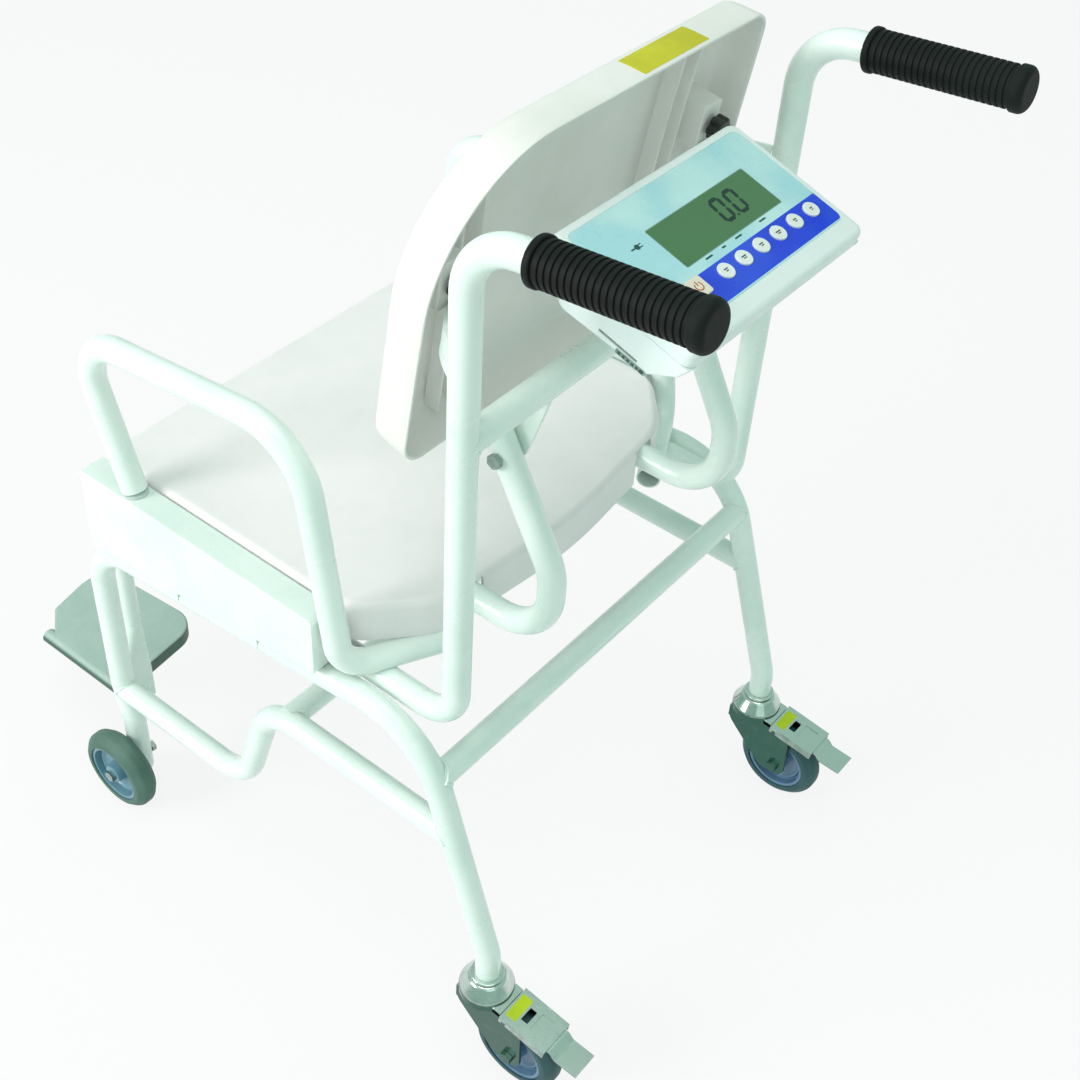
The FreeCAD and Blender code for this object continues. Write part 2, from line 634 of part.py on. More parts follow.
def make_housing():
    """An inverted trough of sheet over one side's load cells, open along the rail."""
    body = new_body("housing")
    rail_top = "rail_front_z + rail_slope * (leg_ahead - (%s)) + tube_radius + housing_skirt_gap"
    profile = new_sketch(body, "YZ", "housing_half")
    outline(profile, [
        (ahead("housing_front_ahead"), rail_top % "housing_front_ahead"),
        (ahead("housing_rear_ahead"), rail_top % "housing_rear_ahead"),
        (ahead("housing_rear_ahead"), "housing_top_z", "housing_edge_radius"),
        (ahead("housing_front_ahead"), "housing_top_z", "housing_edge_radius"),
    ])
    block = extrude(body, profile, "housing_width", symmetric=True)
    shell(body, block, "housing_wall", Vector(0, 0, -1))
    slots = []
    for name, centre, reach in (("front", "front_beam_ahead", "front_arm_reach"),
                                ("rear", "rear_beam_ahead", "arm_margin")):
        slots.append(box("arm_slot_" + name,
                         ("housing_half - housing_width",
                          ahead("%s + arm_margin + arm_slot_gap" % centre),
                          "beam_top_z - arm_slot_gap"),
                         ("housing_width", "arm_margin + %s + 2 * arm_slot_gap" % reach,
                          "arm_thickness + 2 * arm_slot_gap")))
    spigot_hole = cylinder("spigot_hole", "spigot_radius + 2", "4 * housing_wall",
                           ("armrest_half", ahead("armrest_front_ahead"),
                            "housing_top_z - 2 * housing_wall"))
    pair("side_housing", cut("housing_open", body, slots[0], slots[1], spigot_hole))


# --- Weighed frame ---------------------------------------------------------------------

def make_weigh_beam(name, centre, reach):
    """A rectangular tube across the chair with a flat arm over each load cell."""
    body = new_body(name)
    profile = new_sketch(body, "YZ", "0")
    rectangle(profile, ahead(centre + " + beam_width / 2"), ahead(centre + " - beam_width / 2"),
              "beam_bottom_z", "beam_top_z", "beam_corner_radius")
    rectangle(profile, ahead(centre + " + beam_width / 2 - beam_wall"),
              ahead(centre + " - beam_width / 2 + beam_wall"),
              "beam_bottom_z + beam_wall", "beam_top_z - beam_wall",
              "beam_corner_radius - beam_wall / 2")
    extrude(body, profile, "2 * beam_half", symmetric=True)
    arms = []
    for side, start in (("left", "arm_inner_half"), ("right", "0 - arm_outer_half")):
        arms.append(box("%s_arm_%s" % (name, side),
                        (start, ahead(centre + " + arm_margin"), "beam_top_z"),
                        ("arm_outer_half - arm_inner_half", "arm_margin + " + reach,
                         "arm_thickness")))
    node("weigh_" + name, fuse(name + "_welded", body, arms[0], arms[1]))


def make_handles():
    pair("handle_tube", pipe("handle_tube", handle_path(), "handle_half"))
    left_saddle = keepout("handle_saddle", handle_path(), "handle_half")
    right_saddle = mirrored("handle_saddle_mirror", left_saddle)
    tube = cross_tube("upper_cross", "handle_half", "upright_y", "upper_cross_z")
    node("upper_cross_tube", cut("upper_cross_saddled", tube, left_saddle, right_saddle))


def make_grip():
    """A ribbed rubber sleeve, closed at its end; it is turned about the handle's axis."""
    body = new_body("grip")
    inner = "tube_radius + grip_fit"
    tube_end = "grip_length - grip_end_wall"
    profile = new_sketch(body, "XZ", "0")
    outline(profile, [
        (inner, "0"),
        ("grip_flange_radius", "0", "grip_flange_width / 4"),
        ("grip_flange_radius", "grip_flange_width", "grip_flange_width / 4"),
        ("grip_radius", "grip_flange_width"),
        ("grip_radius", "grip_length - 2 * grip_flange_width"),
        ("grip_flange_radius", "grip_length - 2 * grip_flange_width", "grip_flange_width / 4"),
        ("grip_flange_radius", "grip_length", "grip_flange_width"),
        ("0", "grip_length"),
        ("0", tube_end),
        (inner, tube_end),
    ])
    turn(body, profile)
    ring = new_sketch(body, "XZ", "0")
    rectangle(ring, "grip_radius - 1", "grip_ring_radius", "grip_flange_width + grip_ring_pitch / 2",
              "grip_flange_width + grip_ring_pitch / 2 + grip_ring_width", "0.6")
    first = turn(body, ring)
    row_of(body, first, ring, "V_Axis", "grip_ring_pitch * (grip_ring_count - 1)", "grip_ring_count")
    place(body, "handle_half", behind("grip_start * cos(handle_angle)"),
          "handle_top_z + grip_start * sin(handle_angle)", X_AXIS, "handle_angle - 90")
    pair("grip", body)


def make_back_supports():
    path = [
        (ahead("support_front_ahead"), "support_run_z"),
        (behind("support_rear_behind"), "support_run_z", "support_low_radius"),
        (behind("support_rear_behind"), "support_knee_z", "support_knee_radius"),
        (ahead("support_top_ahead"), "support_top_z"),
    ]
    tube = pipe("back_support", path, "support_half")
    slope = "(support_rear_behind + support_top_ahead) / (support_top_z - support_knee_z)"
    bolt_ahead = "support_top_ahead - %s * (support_top_z - lug_bolt_z)" % slope
    bolt_y = ahead(bolt_ahead)
    hole = cylinder("lug_bolt_hole", "lug_bolt_radius + bolt_gap", "2 * tube_diameter",
                    ("support_half - tube_diameter", bolt_y, "lug_bolt_z"), X_AXIS)
    pair("back_support", cut("back_support_drilled", tube, hole))

    lug = new_body("lug")
    lug_x = "support_half - tube_radius - rest_gap - lug_thickness"
    profile = new_sketch(lug, "YZ", lug_x)
    outline(profile, [
        (ahead(bolt_ahead + " + lug_width / 2"), "lug_bolt_z - lug_width / 2", "lug_width / 3"),
        (ahead(bolt_ahead + " - lug_width / 2"), "lug_bolt_z - lug_width / 2", "lug_width / 3"),
        (behind("tube_radius - lug_thickness"), "upper_cross_z"),
        (ahead("tube_radius - lug_thickness"), "upper_cross_z"),
    ])
    circle(profile, bolt_y, "lug_bolt_z", "lug_bolt_radius + bolt_gap")
    extrude(lug, profile, "lug_thickness")
    around_cross = cylinder("upper_cross_saddle", "tube_radius + weld_gap", "2 * handle_half",
                            ("0 - handle_half", "upright_y", "upper_cross_z"), X_AXIS)
    lug_plate = cut("lug_saddled", lug, around_cross)

    head_x = "support_half + tube_radius + rest_gap"
    head = hexagon("lug_bolt_head", "bolt_head_radius", "bolt_head_height",
                   (head_x, bolt_y, "lug_bolt_z"), X_AXIS)
    nut = hexagon("lug_bolt_nut", "bolt_head_radius", "bolt_head_height",
                  (lug_x + " - rest_gap - bolt_head_height", bolt_y, "lug_bolt_z"), X_AXIS)
    shank = cylinder("lug_bolt_shank", "lug_bolt_radius",
                     "tube_diameter + lug_thickness + 3 * rest_gap + bolt_head_height",
                     (lug_x + " - rest_gap - bolt_head_height", bolt_y, "lug_bolt_z"), X_AXIS)
    bolt = fuse("lug_bolt", head, shank, nut)
    node("support_bolts", group("support_bolt_set", bolt, mirrored("lug_bolt_mirror", bolt)))
    return lug_plate


def make_armrest():
    """A tube bent in three dimensions: it turns inwards over the handle tube, notched to sit on
    it, and its end carries the seat's rear corner."""
    side = number("armrest_half")
    heel_z = number("armrest_heel_z")
    corners = [
        (Vector(side, number(ahead("armrest_front_ahead")), number("armrest_foot_z")), 0),
        (Vector(side, number(ahead("armrest_peak_ahead")), number("armrest_peak_z")),
         number("armrest_front_radius")),
        (Vector(side, number(ahead("armrest_rear_ahead")), number("armrest_rear_z")),
         number("armrest_rear_radius")),
        (Vector(side, number(ahead("armrest_heel_ahead")), heel_z), number("armrest_heel_radius")),
        (Vector(number("armrest_end_half"), number(ahead("armrest_end_ahead")), heel_z), 0),
    ]
    edges = []
    start = corners[0][0]
    for index in range(1, len(corners) - 1):
        corner, radius = corners[index]
        before = (corners[index - 1][0] - corner).normalize()
        after = (corners[index + 1][0] - corner).normalize()
        half_angle = before.getAngle(after) / 2
        reach = radius / math.tan(half_angle)
        middle = (before + after).normalize()
        centre = corner + middle * (radius / math.sin(half_angle))
        first = corner + before * reach
        last = corner + after * reach
        edges.append(Part.makeLine(start, first))
        edges.append(Part.Arc(first, centre - middle * radius, last).toShape())
        start = last
    edges.append(Part.makeLine(start, corners[-1][0]))
    path = Part.Wire(edges)
    direction = (corners[1][0] - corners[0][0]).normalize()
    walls = []
    for radius in (number("tube_radius"), number("tube_radius - tube_wall")):
        ring = Part.Wire([Part.makeCircle(radius, corners[0][0], direction)])
        walls.append(path.makePipeShell([ring], True, False))
    handle = Part.makeCylinder(number("tube_radius + weld_gap"), number("handle_front_ahead"),
                               Vector(number("handle_half"), number(ahead("handle_front_ahead")),
                                      number("handle_run_z")), Y_AXIS)
    tube = walls[0].cut([walls[1], handle])
    level = corners[0][0]
    reach = number("2 * tube_diameter")
    trim = Part.makeBox(2 * reach, 2 * reach, reach, level - Vector(reach, reach, reach))
    tube = tube.cut(trim)
    plug_height = number("tube_radius")
    plug = Part.makeCylinder(number("tube_radius - tube_wall"), plug_height, level)
    plug = plug.common(walls[1])
    drop = level.z - number("arm_top_z + rest_gap")
    spigot = Part.makeCylinder(number("spigot_radius"), drop + plug_height / 2,
                               level - Vector(0, 0, drop))
    armrest = doc.addObject("Part::Feature", "armrest")
    armrest.Shape = tube.fuse([plug, spigot])
    pair("armrest", armrest)

    ring = cylinder("grommet_ring", "grommet_radius", "armrest_foot_z - housing_top_z - 2 * rest_gap",
                    ("armrest_half", ahead("armrest_front_ahead"), "housing_top_z + rest_gap"))
    bore = cylinder("grommet_bore", "spigot_radius + bolt_gap", "2 * (armrest_foot_z - housing_top_z)",
                    ("armrest_half", ahead("armrest_front_ahead"), "housing_top_z"))
    grommet = cut("grommet", ring, bore)
    node("armrest_grommets", group("grommet_set", grommet, mirrored("grommet_mirror", grommet)))


# --- Seat and backrest -------------------------------------------------------------------

def make_seat():
    body = new_body("seat")
    profile = new_sketch(body, "XY", "seat_top_z")
    front = ahead("seat_front_ahead")
    corner_y = ahead("seat_corner_ahead")
    shoulder_y = ahead("seat_shoulder_ahead")
    outline(profile, [
        ("0 - seat_half", front, "seat_front_radius"),
        ("seat_half", front, "seat_front_radius"),
        ("seat_half", shoulder_y, "seat_shoulder_radius"),
        ("seat_corner_half", corner_y, "seat_corner_radius"),
        ("0", ahead("seat_rear_ahead"), "seat_rear_radius"),
        ("0 - seat_corner_half", corner_y, "seat_corner_radius"),
        ("0 - seat_half", shoulder_y, "seat_shoulder_radius"),
    ])
    block = extrude(body, profile, "seat_depth", backwards=True)
    rounded = fillet(body, block, "seat_edge_radius", Z_AXIS)
    shell(body, rounded, "seat_sheet", Vector(0, 0, -1))
    notch = new_sketch(body, "XY", "seat_skirt_z")
    for left, right in (("seat_half - seat_notch_inset", "seat_half + 5"),
                        ("0 - seat_half - 5", "seat_notch_inset - seat_half")):
        rectangle(notch, left, right, ahead("front_beam_ahead + arm_margin + arm_slot_gap"),
                  ahead("rear_beam_ahead - arm_margin - arm_slot_gap"))
    extrude(body, notch, "seat_depth - seat_side_skirt", kind="Pocket", backwards=True)
    slots = new_sketch(body, "XY", "seat_skirt_z")
    for centre in ("support_half", "0 - support_half"):
        rectangle(slots, centre + " - tube_radius - seat_slot_gap",
                  centre + " + tube_radius + seat_slot_gap",
                  ahead("seat_shoulder_ahead"), behind("tube_radius"))
    extrude(body, slots, "seat_depth - seat_sheet", kind="Pocket", backwards=True)
    node("seat_shell", body)


def back_place(thing):
    return place(thing, "0", ahead("back_bottom_ahead"), "back_bottom_z", X_AXIS,
                 "90 - back_recline")


def make_backrest():
    """A tray whose open side faces the rear; its frame lies along the reclined rim."""
    body = new_body("backrest")
    profile = new_sketch(body, "XY", "0")
    outline(profile, [
        ("0 - back_half", "0", "back_bottom_radius"),
        ("back_half", "0", "back_bottom_radius"),
        ("back_half", "back_height", "back_top_radius"),
        ("0 - back_half", "back_height", "back_top_radius"),
    ])
    block = extrude(body, profile, "back_depth")
    rounded = fillet(body, block, "back_edge_radius", Z_AXIS)
    shell(body, rounded, "back_wall", Vector(0, 0, -1))
    bosses = new_sketch(body, "XY", "0")
    ribs = new_sketch(body, "XY", "back_depth - back_wall / 2 - back_rib_depth")
    for centre in ("knob_half", "0 - knob_half"):
        rectangle(bosses, centre + " - boss_half_width", centre + " + boss_half_width",
                  "boss_bottom", "boss_top", "boss_corner_radius")
        for side in (" - back_rib_pitch / 2", " + back_rib_pitch / 2"):
            middle = centre + side
            arc_rise = "sqrt(back_top_radius^2 - (abs(%s) - back_half + back_top_radius)^2)" % middle
            rectangle(ribs, middle + " - back_rib_thickness / 2",
                      middle + " + back_rib_thickness / 2", "back_wall / 2",
                      "back_height - back_top_radius + %s - 0.7 * back_wall" % arc_rise)
    extrude(body, bosses, "back_depth - back_wall / 2")
    extrude(body, ribs, "back_rib_depth")
    holes = new_sketch(body, "XY", "0")
    circle(holes, "knob_half", "knob_height", "stud_radius + bolt_gap")
    circle(holes, "0 - knob_half", "knob_height", "stud_radius + bolt_gap")
    extrude(body, holes, "stud_depth + 4", kind="Pocket", backwards=True)
    back_place(body)
    node("backrest_shell", body)


def make_brackets(lug_plate):
    """An angle plate from an upright to each of the backrest's bosses, and the two lugs."""
    body = new_body("bracket")
    low = "knob_height - bracket_height / 2"
    high = "knob_height + bracket_height / 2"
    web_half = "bracket_plate / 2"
    plate = new_sketch(body, "XY", "0 - rest_gap")
    rectangle(plate, "bracket_inner_half", "handle_half + " + web_half, low, high)
    circle(plate, "knob_half", "knob_height", "stud_radius + bolt_gap")
    extrude(body, plate, "bracket_plate", backwards=True)
    web = new_sketch(body, "XY", "0 - rest_gap - bracket_plate / 2")
    rectangle(web, "handle_half - " + web_half, "handle_half + " + web_half, low, high)
    extrude(body, web, "back_bottom_ahead", backwards=True)
    back_place(body)
    whole = cut("bracket_saddled", body, doc.getObject("handle_saddle"))
    behind_upright = box("bracket_trim", ("0", "upright_y", "back_bottom_z"),
                         ("2 * handle_half", "2 * back_bottom_ahead", "back_height"))
    bracket = cut("bracket_trimmed", whole, behind_upright)
    node("frame_brackets", group("frame_bracket_set", bracket, mirrored("bracket_mirror", bracket),
                                 lug_plate, mirrored("lug_mirror", lug_plate)))


def make_knobs():
    """A lobed hand knob whose stud screws into the backrest's boss."""
    body = new_body("knob")
    face = "0 - 2 * rest_gap - bracket_plate"
    disc = circle(new_sketch(body, "XY", face), "0", "0", "knob_radius")
    block = extrude(body, disc, "knob_thickness", backwards=True)
    fillet(body, block, "knob_edge_radius", Vector(0, 0, -1))
    bite = circle(new_sketch(body, "XY", face), "knob_radius + knob_lobe_radius / 2", "0",
                  "knob_lobe_radius")
    first = extrude(body, bite, "knob_thickness", kind="Pocket")
    ring_of(body, first, bite, "knob_lobe_count")
    stud = circle(new_sketch(body, "XY", face), "0", "0", "stud_radius")
    extrude(body, stud, "stud_depth + 2 * rest_gap + bracket_plate")
    place(body, "knob_half", ahead("back_bottom_ahead - knob_height * sin(back_recline)"),
          "back_bottom_z + knob_height * cos(back_recline)", X_AXIS, "90 - back_recline")
    node("backrest_knobs", group("knob_set", body, mirrored("knob_mirror", body)))


# --- Indicator --------------------------------------------------------------------------------

def face_place(thing, x="0", y="0"):
    """Put a thing on the sloping face, at (x, y) measured from the face's centre."""
    return place(thing, x, behind("face_behind + (%s) * cos(face_tilt)" % y),
                 "face_z - (%s) * sin(face_tilt)" % y, X_AXIS, "0 - face_tilt")


def key_places():
    """Six round keys in a row, and the square power key beside them."""
    places = {"key_%d" % (index + 1): ("key_row_x - key_pitch * %d" % index, "key_row_y")
              for index in range(6)}
    places["power_key"] = ("power_key_x", "power_key_y")
    return places


def key_openings(sketch, gap):
    for name, (x, y) in key_places().items():
        if name == "power_key":
            reach = "(power_key_half + %s)" % gap
            rectangle(sketch, "%s - %s" % (x, reach), "%s + %s" % (x, reach),
                      "%s - %s" % (y, reach), "%s + %s" % (y, reach), "opening_radius")
        else:
            circle(sketch, x, y, "key_radius + " + gap)


def centred(sketch, half_width, half_length, radius):
    return rectangle(sketch, "0 - (%s)" % half_width, half_width,
                     "0 - (%s)" % half_length, half_length, radius)


def overlay_outline(sketch, gap):
    """The printed face stops short of the rear edge, where the case is bare."""
    half_width = "(case_half_width - overlay_margin - %s)" % gap
    return rectangle(sketch, "0 - " + half_width, half_width,
                     "overlay_margin + %s - case_half_length" % gap,
                     "case_half_length - overlay_rear_margin - " + gap, "overlay_radius")


def make_front_case():
    body = new_body("front_case")
    face = centred(new_sketch(body, "XY", "0"), "case_half_width", "case_half_length",
                   "case_radius")
    block = extrude(body, face, "bezel_height", backwards=True)
    rounded = fillet(body, block, "case_edge_radius", Z_AXIS)
    shell(body, rounded, "case_wall", Vector(0, 0, -1))
    recess = overlay_outline(new_sketch(body, "XY", "0"), "0")
    extrude(body, recess, "overlay_thickness", kind="Pocket")
    openings = new_sketch(body, "XY", "0")
    rectangle(openings, "display_x - display_width / 2", "display_x + display_width / 2",
              "display_y - display_height / 2", "display_y + display_height / 2")
    key_openings(openings, "key_gap")
    extrude(body, openings, "2 * case_wall", kind="Pocket")
    posts = new_sketch(body, "XY", "0 - case_wall / 2")
    for x_sign in ("", "0 - "):
        for y_sign in ("", "0 - "):
            circle(posts, x_sign + "board_post_x", y_sign + "board_post_y", "board_post_radius")
    extrude(body, posts, "board_post_height + case_wall / 2", backwards=True)
    node("indicator_front_case", face_place(body))


def make_overlay():
    body = new_body("overlay")
    sheet_top = overlay_outline(new_sketch(body, "XY", "0"), "bolt_gap")
    key_openings(sheet_top, "key_gap")
    extrude(body, sheet_top, "overlay_thickness", backwards=True)
    node("indicator_overlay", face_place(body))


def make_display():
    body = new_body("display")
    glass = new_sketch(body, "XY", "0 - case_wall - bolt_gap")
    rectangle(glass, "display_x - display_width / 2 - display_lip",
              "display_x + display_width / 2 + display_lip",
              "display_y - display_height / 2 - display_lip",
              "display_y + display_height / 2 + display_lip")
    extrude(body, glass, "display_glass", backwards=True)
    node("indicator_display", face_place(body))


def make_board():
    body = new_body("board")
    panel = centred(new_sketch(body, "XY", "board_z"), "board_half_width", "board_half_length",
                    "opening_radius")
    extrude(body, panel, "board_thickness")
    node("indicator_board", face_place(body))


def make_rear_case():
    """A wedge-shaped tub, open upwards, drawn from the side."""
    body = new_body("rear_case")
    top = "0 - bezel_height - case_seam"
    side = outline(new_sketch(body, "YZ", "0"), [
        ("0 - case_half_length", top),
        ("0 - case_half_length + case_front_inset", "0 - case_front_depth", "case_belly_radius"),
        ("case_half_length - case_rear_inset", "0 - case_rear_depth", "case_belly_radius"),
        ("case_half_length - case_lip_inset", "0 - case_lip_depth", "case_belly_radius"),
        ("case_half_length", top),
    ])
    block = extrude(body, side, "2 * case_half_width", symmetric=True)
    tub = shell(body, block, "case_wall", Z_AXIS)
    rim_z = number(top)
    edges = []
    for index, edge in enumerate(tub.Shape.Edges, start=1):
        box_of_edge = edge.BoundBox
        at_side = abs(abs(box_of_edge.Center.x) - number("case_half_width")) < 0.01
        if at_side and box_of_edge.ZMin < rim_z - 0.01:
            edges.append("Edge%d" % index)
    rounding = body.newObject("PartDesign::Fillet", "rear_case_fillet")
    rounding.Base = (tub, edges)
    bind(rounding, Radius="case_radius / 5")
    doc.recompute()
    slot = new_sketch(body, "YZ", "case_half_width")
    rectangle(slot, "slot_start", "slot_start + slot_length",
              "0 - slot_depth - slot_width / 2", "slot_width / 2 - slot_depth")
    extrude(body, slot, "2 * case_wall", kind="Pocket")
    node("indicator_rear_case", face_place(body))


def make_keys():
    top = "key_height"
    flange_top = "0 - case_wall - key_gap"
    flange_low = "0 - case_wall - key_gap - key_flange_thickness"
    stem_low = "board_z + board_thickness + key_stem_gap"
    for name, (x, y) in key_places().items():
        if name == "power_key":
            body = new_body(name)
            cap = centred(new_sketch(body, "XY", top), "power_key_half", "power_key_half",
                          "opening_radius - key_gap")
            block = extrude(body, cap, "key_height + case_wall + key_gap", backwards=True)
            fillet(body, block, "key_edge_radius", Z_AXIS)
            flange = centred(new_sketch(body, "XY", flange_top), "power_key_half + key_flange",
                             "power_key_half + key_flange", "opening_radius")
            extrude(body, flange, "key_flange_thickness", backwards=True)
            stem = circle(new_sketch(body, "XY", flange_low), "0", "0", "key_stem_radius")
            extrude(body, stem, "%s - (%s)" % (flange_low, stem_low), backwards=True)
        else:
            body = turned(name, [
                ("0", stem_low),
                ("key_stem_radius", stem_low),
                ("key_stem_radius", flange_low),
                ("key_radius + key_flange", flange_low),
                ("key_radius + key_flange", flange_top),
                ("key_radius", flange_top),
                ("key_radius", top, "key_edge_radius"),
                ("0", top),
            ])
        node(name, face_place(body, x, y))


def make_indicator_post():
    """A bent strip from the upper cross tube to the underside of the case."""
    gap = "(rest_gap + post_plate / 2)"
    heel_y = "0 - case_half_length + case_front_inset"
    corners = [
        ("case_half_length - case_rear_inset", "0 - case_rear_depth - %s" % gap),
        (heel_y, "0 - case_front_depth - %s" % gap, "3 * post_plate"),
        (heel_y + " + post_length * sin(face_tilt)",
         "0 - case_front_depth - %s - post_length * cos(face_tilt)" % gap),
    ]
    body = strip("indicator_post", corners, "0", "post_width", "post_plate")
    face_place(body)
    saddle = doc.getObject("upper_cross_saddle")
    post = cut("indicator_post_saddled", body, saddle)
    below = box("indicator_post_trim", ("0 - post_width", behind("0 - post_length"),
                                        "upper_cross_z - 2 * post_length"),
                ("2 * post_width", "2 * post_length", "2 * post_length"))
    node("indicator_bracket", cut("indicator_post_trimmed", post, below))


# --- Footrests ----------------------------------------------------------------------------------

def make_hanger():
    """A bent tube whose lower end is pressed flat into a blade that holds the hinge pin."""
    body = pipe("hanger", [
        (ahead("front_beam_ahead + beam_width / 2 + weld_gap"), "hanger_z"),
        (ahead("hanger_ahead"), "hanger_z", "hanger_radius"),
        (ahead("hanger_ahead"), "hanger_flat_start_z"),
    ], "hanger_half", outer="hanger_diameter / 2")
    blade_x = "hinge_x + hanger_flat_thickness - flat_shift"
    blade_y = ahead("hanger_rear_ahead + hanger_flat_thickness / 2")

    def section(z, x, y, width, depth):
        half_width, half_depth = width + " / 2", depth + " / 2"
        return rectangle(new_sketch(body, "XY", z), "%s - %s" % (x, half_width),
                         "%s + %s" % (x, half_width), "%s - %s" % (y, half_depth),
                         "%s + %s" % (y, half_depth), half_depth + " * section_ratio")

    blade = (blade_x, blade_y, "hanger_flat_width", "hanger_flat_thickness")
    loft = body.newObject("PartDesign::AdditiveLoft", "hanger_loft")
    loft.Profile = section("hanger_flat_start_z", "hanger_half", ahead("hanger_ahead"),
                           "hanger_diameter", "hanger_diameter")
    loft.Sections = [(section("hanger_flat_z", *blade), [""])]
    doc.recompute()
    extrude(body, section("hanger_flat_z", *blade), "hanger_flat_z - hanger_end_z", backwards=True)
    pin_hole = cylinder("hanger_pin_hole", "hinge_pin_radius + bolt_gap", "tube_diameter",
                        ("hinge_x", ahead("hanger_ahead"), "hinge_z"), Y_AXIS)
    pair("footrest_hanger", cut("hanger_drilled", body, pin_hole))


def make_footplate():
    """A ribbed tray with a hinge barrel along its outer edge; it flips up sideways."""
    body = new_body("footplate")
    top = outline(new_sketch(body, "XY", "hinge_z + barrel_radius"), [
        ("plate_toe_x", ahead("toe_ahead"), "plate_corner_radius"),
        ("plate_bend_x", ahead("toe_ahead"), "4 * plate_corner_radius"),
        ("plate_cut_x", ahead("plate_cut_front_ahead"), "plate_corner_radius / 2"),
        ("hinge_x", ahead("plate_cut_ahead")),
        ("hinge_x", ahead("plate_rear_ahead + plate_heel_set")),
        ("plate_inner_x", ahead("plate_inner_ahead"), "plate_heel_radius"),
    ])
    block = extrude(body, top, "plate_thickness", backwards=True)
    tray = shell(body, block, "plate_web", Vector(0, 0, -1))
    fillet(body, tray, "plate_edge_radius", Z_AXIS)
    rib = new_sketch(body, "XY", "hinge_z + barrel_radius - plate_web / 2")
    for index in range(2):
        middle = "(plate_rib_ahead - %d * plate_rib_pitch)" % index
        edge = ("plate_inner_x + (plate_toe_x - plate_inner_x) * (%s - plate_inner_ahead)"
                " / (toe_ahead - plate_inner_ahead)" % middle)
        rectangle(rib, edge + " + plate_web / 2", "hinge_x",
                  ahead(middle + " + plate_web / 2"), ahead(middle + " - plate_web / 2"))
    extrude(body, rib, "plate_rib_depth", backwards=True)
    barrel = cylinder("footplate_barrel", "barrel_radius",
                      "barrel_front_ahead - (plate_rear_ahead)",
                      ("hinge_x", ahead("barrel_front_ahead"), "hinge_z"), Y_AXIS)
    bore = cylinder("footplate_bore", "hinge_pin_radius + running_gap",
                    "hinge_pin_length + 2 * rest_gap + plate_gap",
                    ("hinge_x", ahead("plate_rear_ahead + hinge_pin_length + rest_gap"),
                     "hinge_z"), Y_AXIS)
    pair("footplate", cut("footplate_bored", fuse("footplate_whole", body, barrel), bore))

    shank = cylinder("hinge_pin_shank", "hinge_pin_radius",
                     "hinge_pin_length + plate_gap + hanger_flat_thickness + rest_gap",
                     ("hinge_x", ahead("plate_rear_ahead + hinge_pin_length"), "hinge_z"), Y_AXIS)
    head = hexagon("hinge_pin_head", "bolt_head_radius", "bolt_head_height",
                   ("hinge_x", ahead("hanger_rear_ahead - rest_gap"), "hinge_z"), Y_AXIS)
    pin = fuse("hinge_pin", shank, head)
    node("footplate_pins", group("hinge_pin_set", pin, mirrored("hinge_pin_mirror", pin)))


# --- Wheels ---------------------------------------------------------------------------------

def turned(name, profile_corners):
    """A solid of revolution about its own Z axis, from (radius, height) corners."""
    body = new_body(name)
    profile = outline(new_sketch(body, "XZ", "0"), profile_corners)
    turn(body, profile)
    return body


def wheel(name, width, x, y):
    """A rubber tyre on a dished plastic hub."""
    half = width + " / 2"
    tyre = turned(name + "_tyre", [
        ("hub_radius + running_gap", "0 - " + half),
        ("wheel_radius - tyre_shoulder", "0 - " + half, "tyre_shoulder / 2"),
        ("wheel_radius", "tyre_shoulder - " + half, "tyre_shoulder"),
        ("wheel_radius", half + " - tyre_shoulder", "tyre_shoulder"),
        ("wheel_radius - tyre_shoulder", half, "tyre_shoulder / 2"),
        ("hub_radius + running_gap", half),
    ])
    rim_in = "hub_radius - hub_rim"
    rim_half = half + " - 1.5"
    # One face of the hub, from the bore outwards: boss, dished web, raised ring and rim.
    face = [
        ("axle_radius + running_gap", half),
        ("hub_boss_radius", half, "1"),
        ("hub_boss_radius + 2", "hub_web / 2", "1"),
        ("hub_ring_radius - 2", "hub_web / 2 + 1", "1"),
        ("hub_ring_radius", "hub_web / 2 + 1 + hub_ring_depth", "0.8"),
        ("hub_ring_radius + 2", "hub_web / 2 + 1 + hub_ring_depth", "0.8"),
        (rim_in + " - 1", "hub_web / 2", "0.8"),
        (rim_in, rim_half, "0.8"),
        ("hub_radius", rim_half, "0.8"),
    ]
    other_face = [(radius, "0 - (%s)" % height, *corner) for radius, height, *corner in face]
    hub = turned(name + "_hub", face + other_face[::-1])
    for piece in (tyre, hub):
        place(piece, x, y, "wheel_radius", Y_AXIS, "90")
    return tyre, hub


def make_front_wheels():
    y = ahead("leg_foot_ahead")
    tyre, hub = wheel("front_wheel", "front_wheel_width", "front_wheel_x", y)
    pair("front_tyre", tyre)
    pair("front_hub", hub)
    outer = "front_wheel_x + front_wheel_width / 2 + rest_gap"
    inner = "base_half - tube_radius - rest_gap - bolt_head_height"
    shaft = cylinder("front_axle_shaft", "axle_radius", "%s - (%s)" % (outer, inner),
                     (inner, y, "wheel_radius"), X_AXIS)
    head = hexagon("front_axle_head", "bolt_head_radius", "bolt_head_height",
                   (outer, y, "wheel_radius"), X_AXIS)
    nut = hexagon("front_axle_nut", "bolt_head_radius", "bolt_head_height",
                  (inner, y, "wheel_radius"), X_AXIS)
    axle = fuse("front_axle", shaft, head, nut)
    node("front_axles", group("front_axle_set", axle, mirrored("front_axle_mirror", axle)))


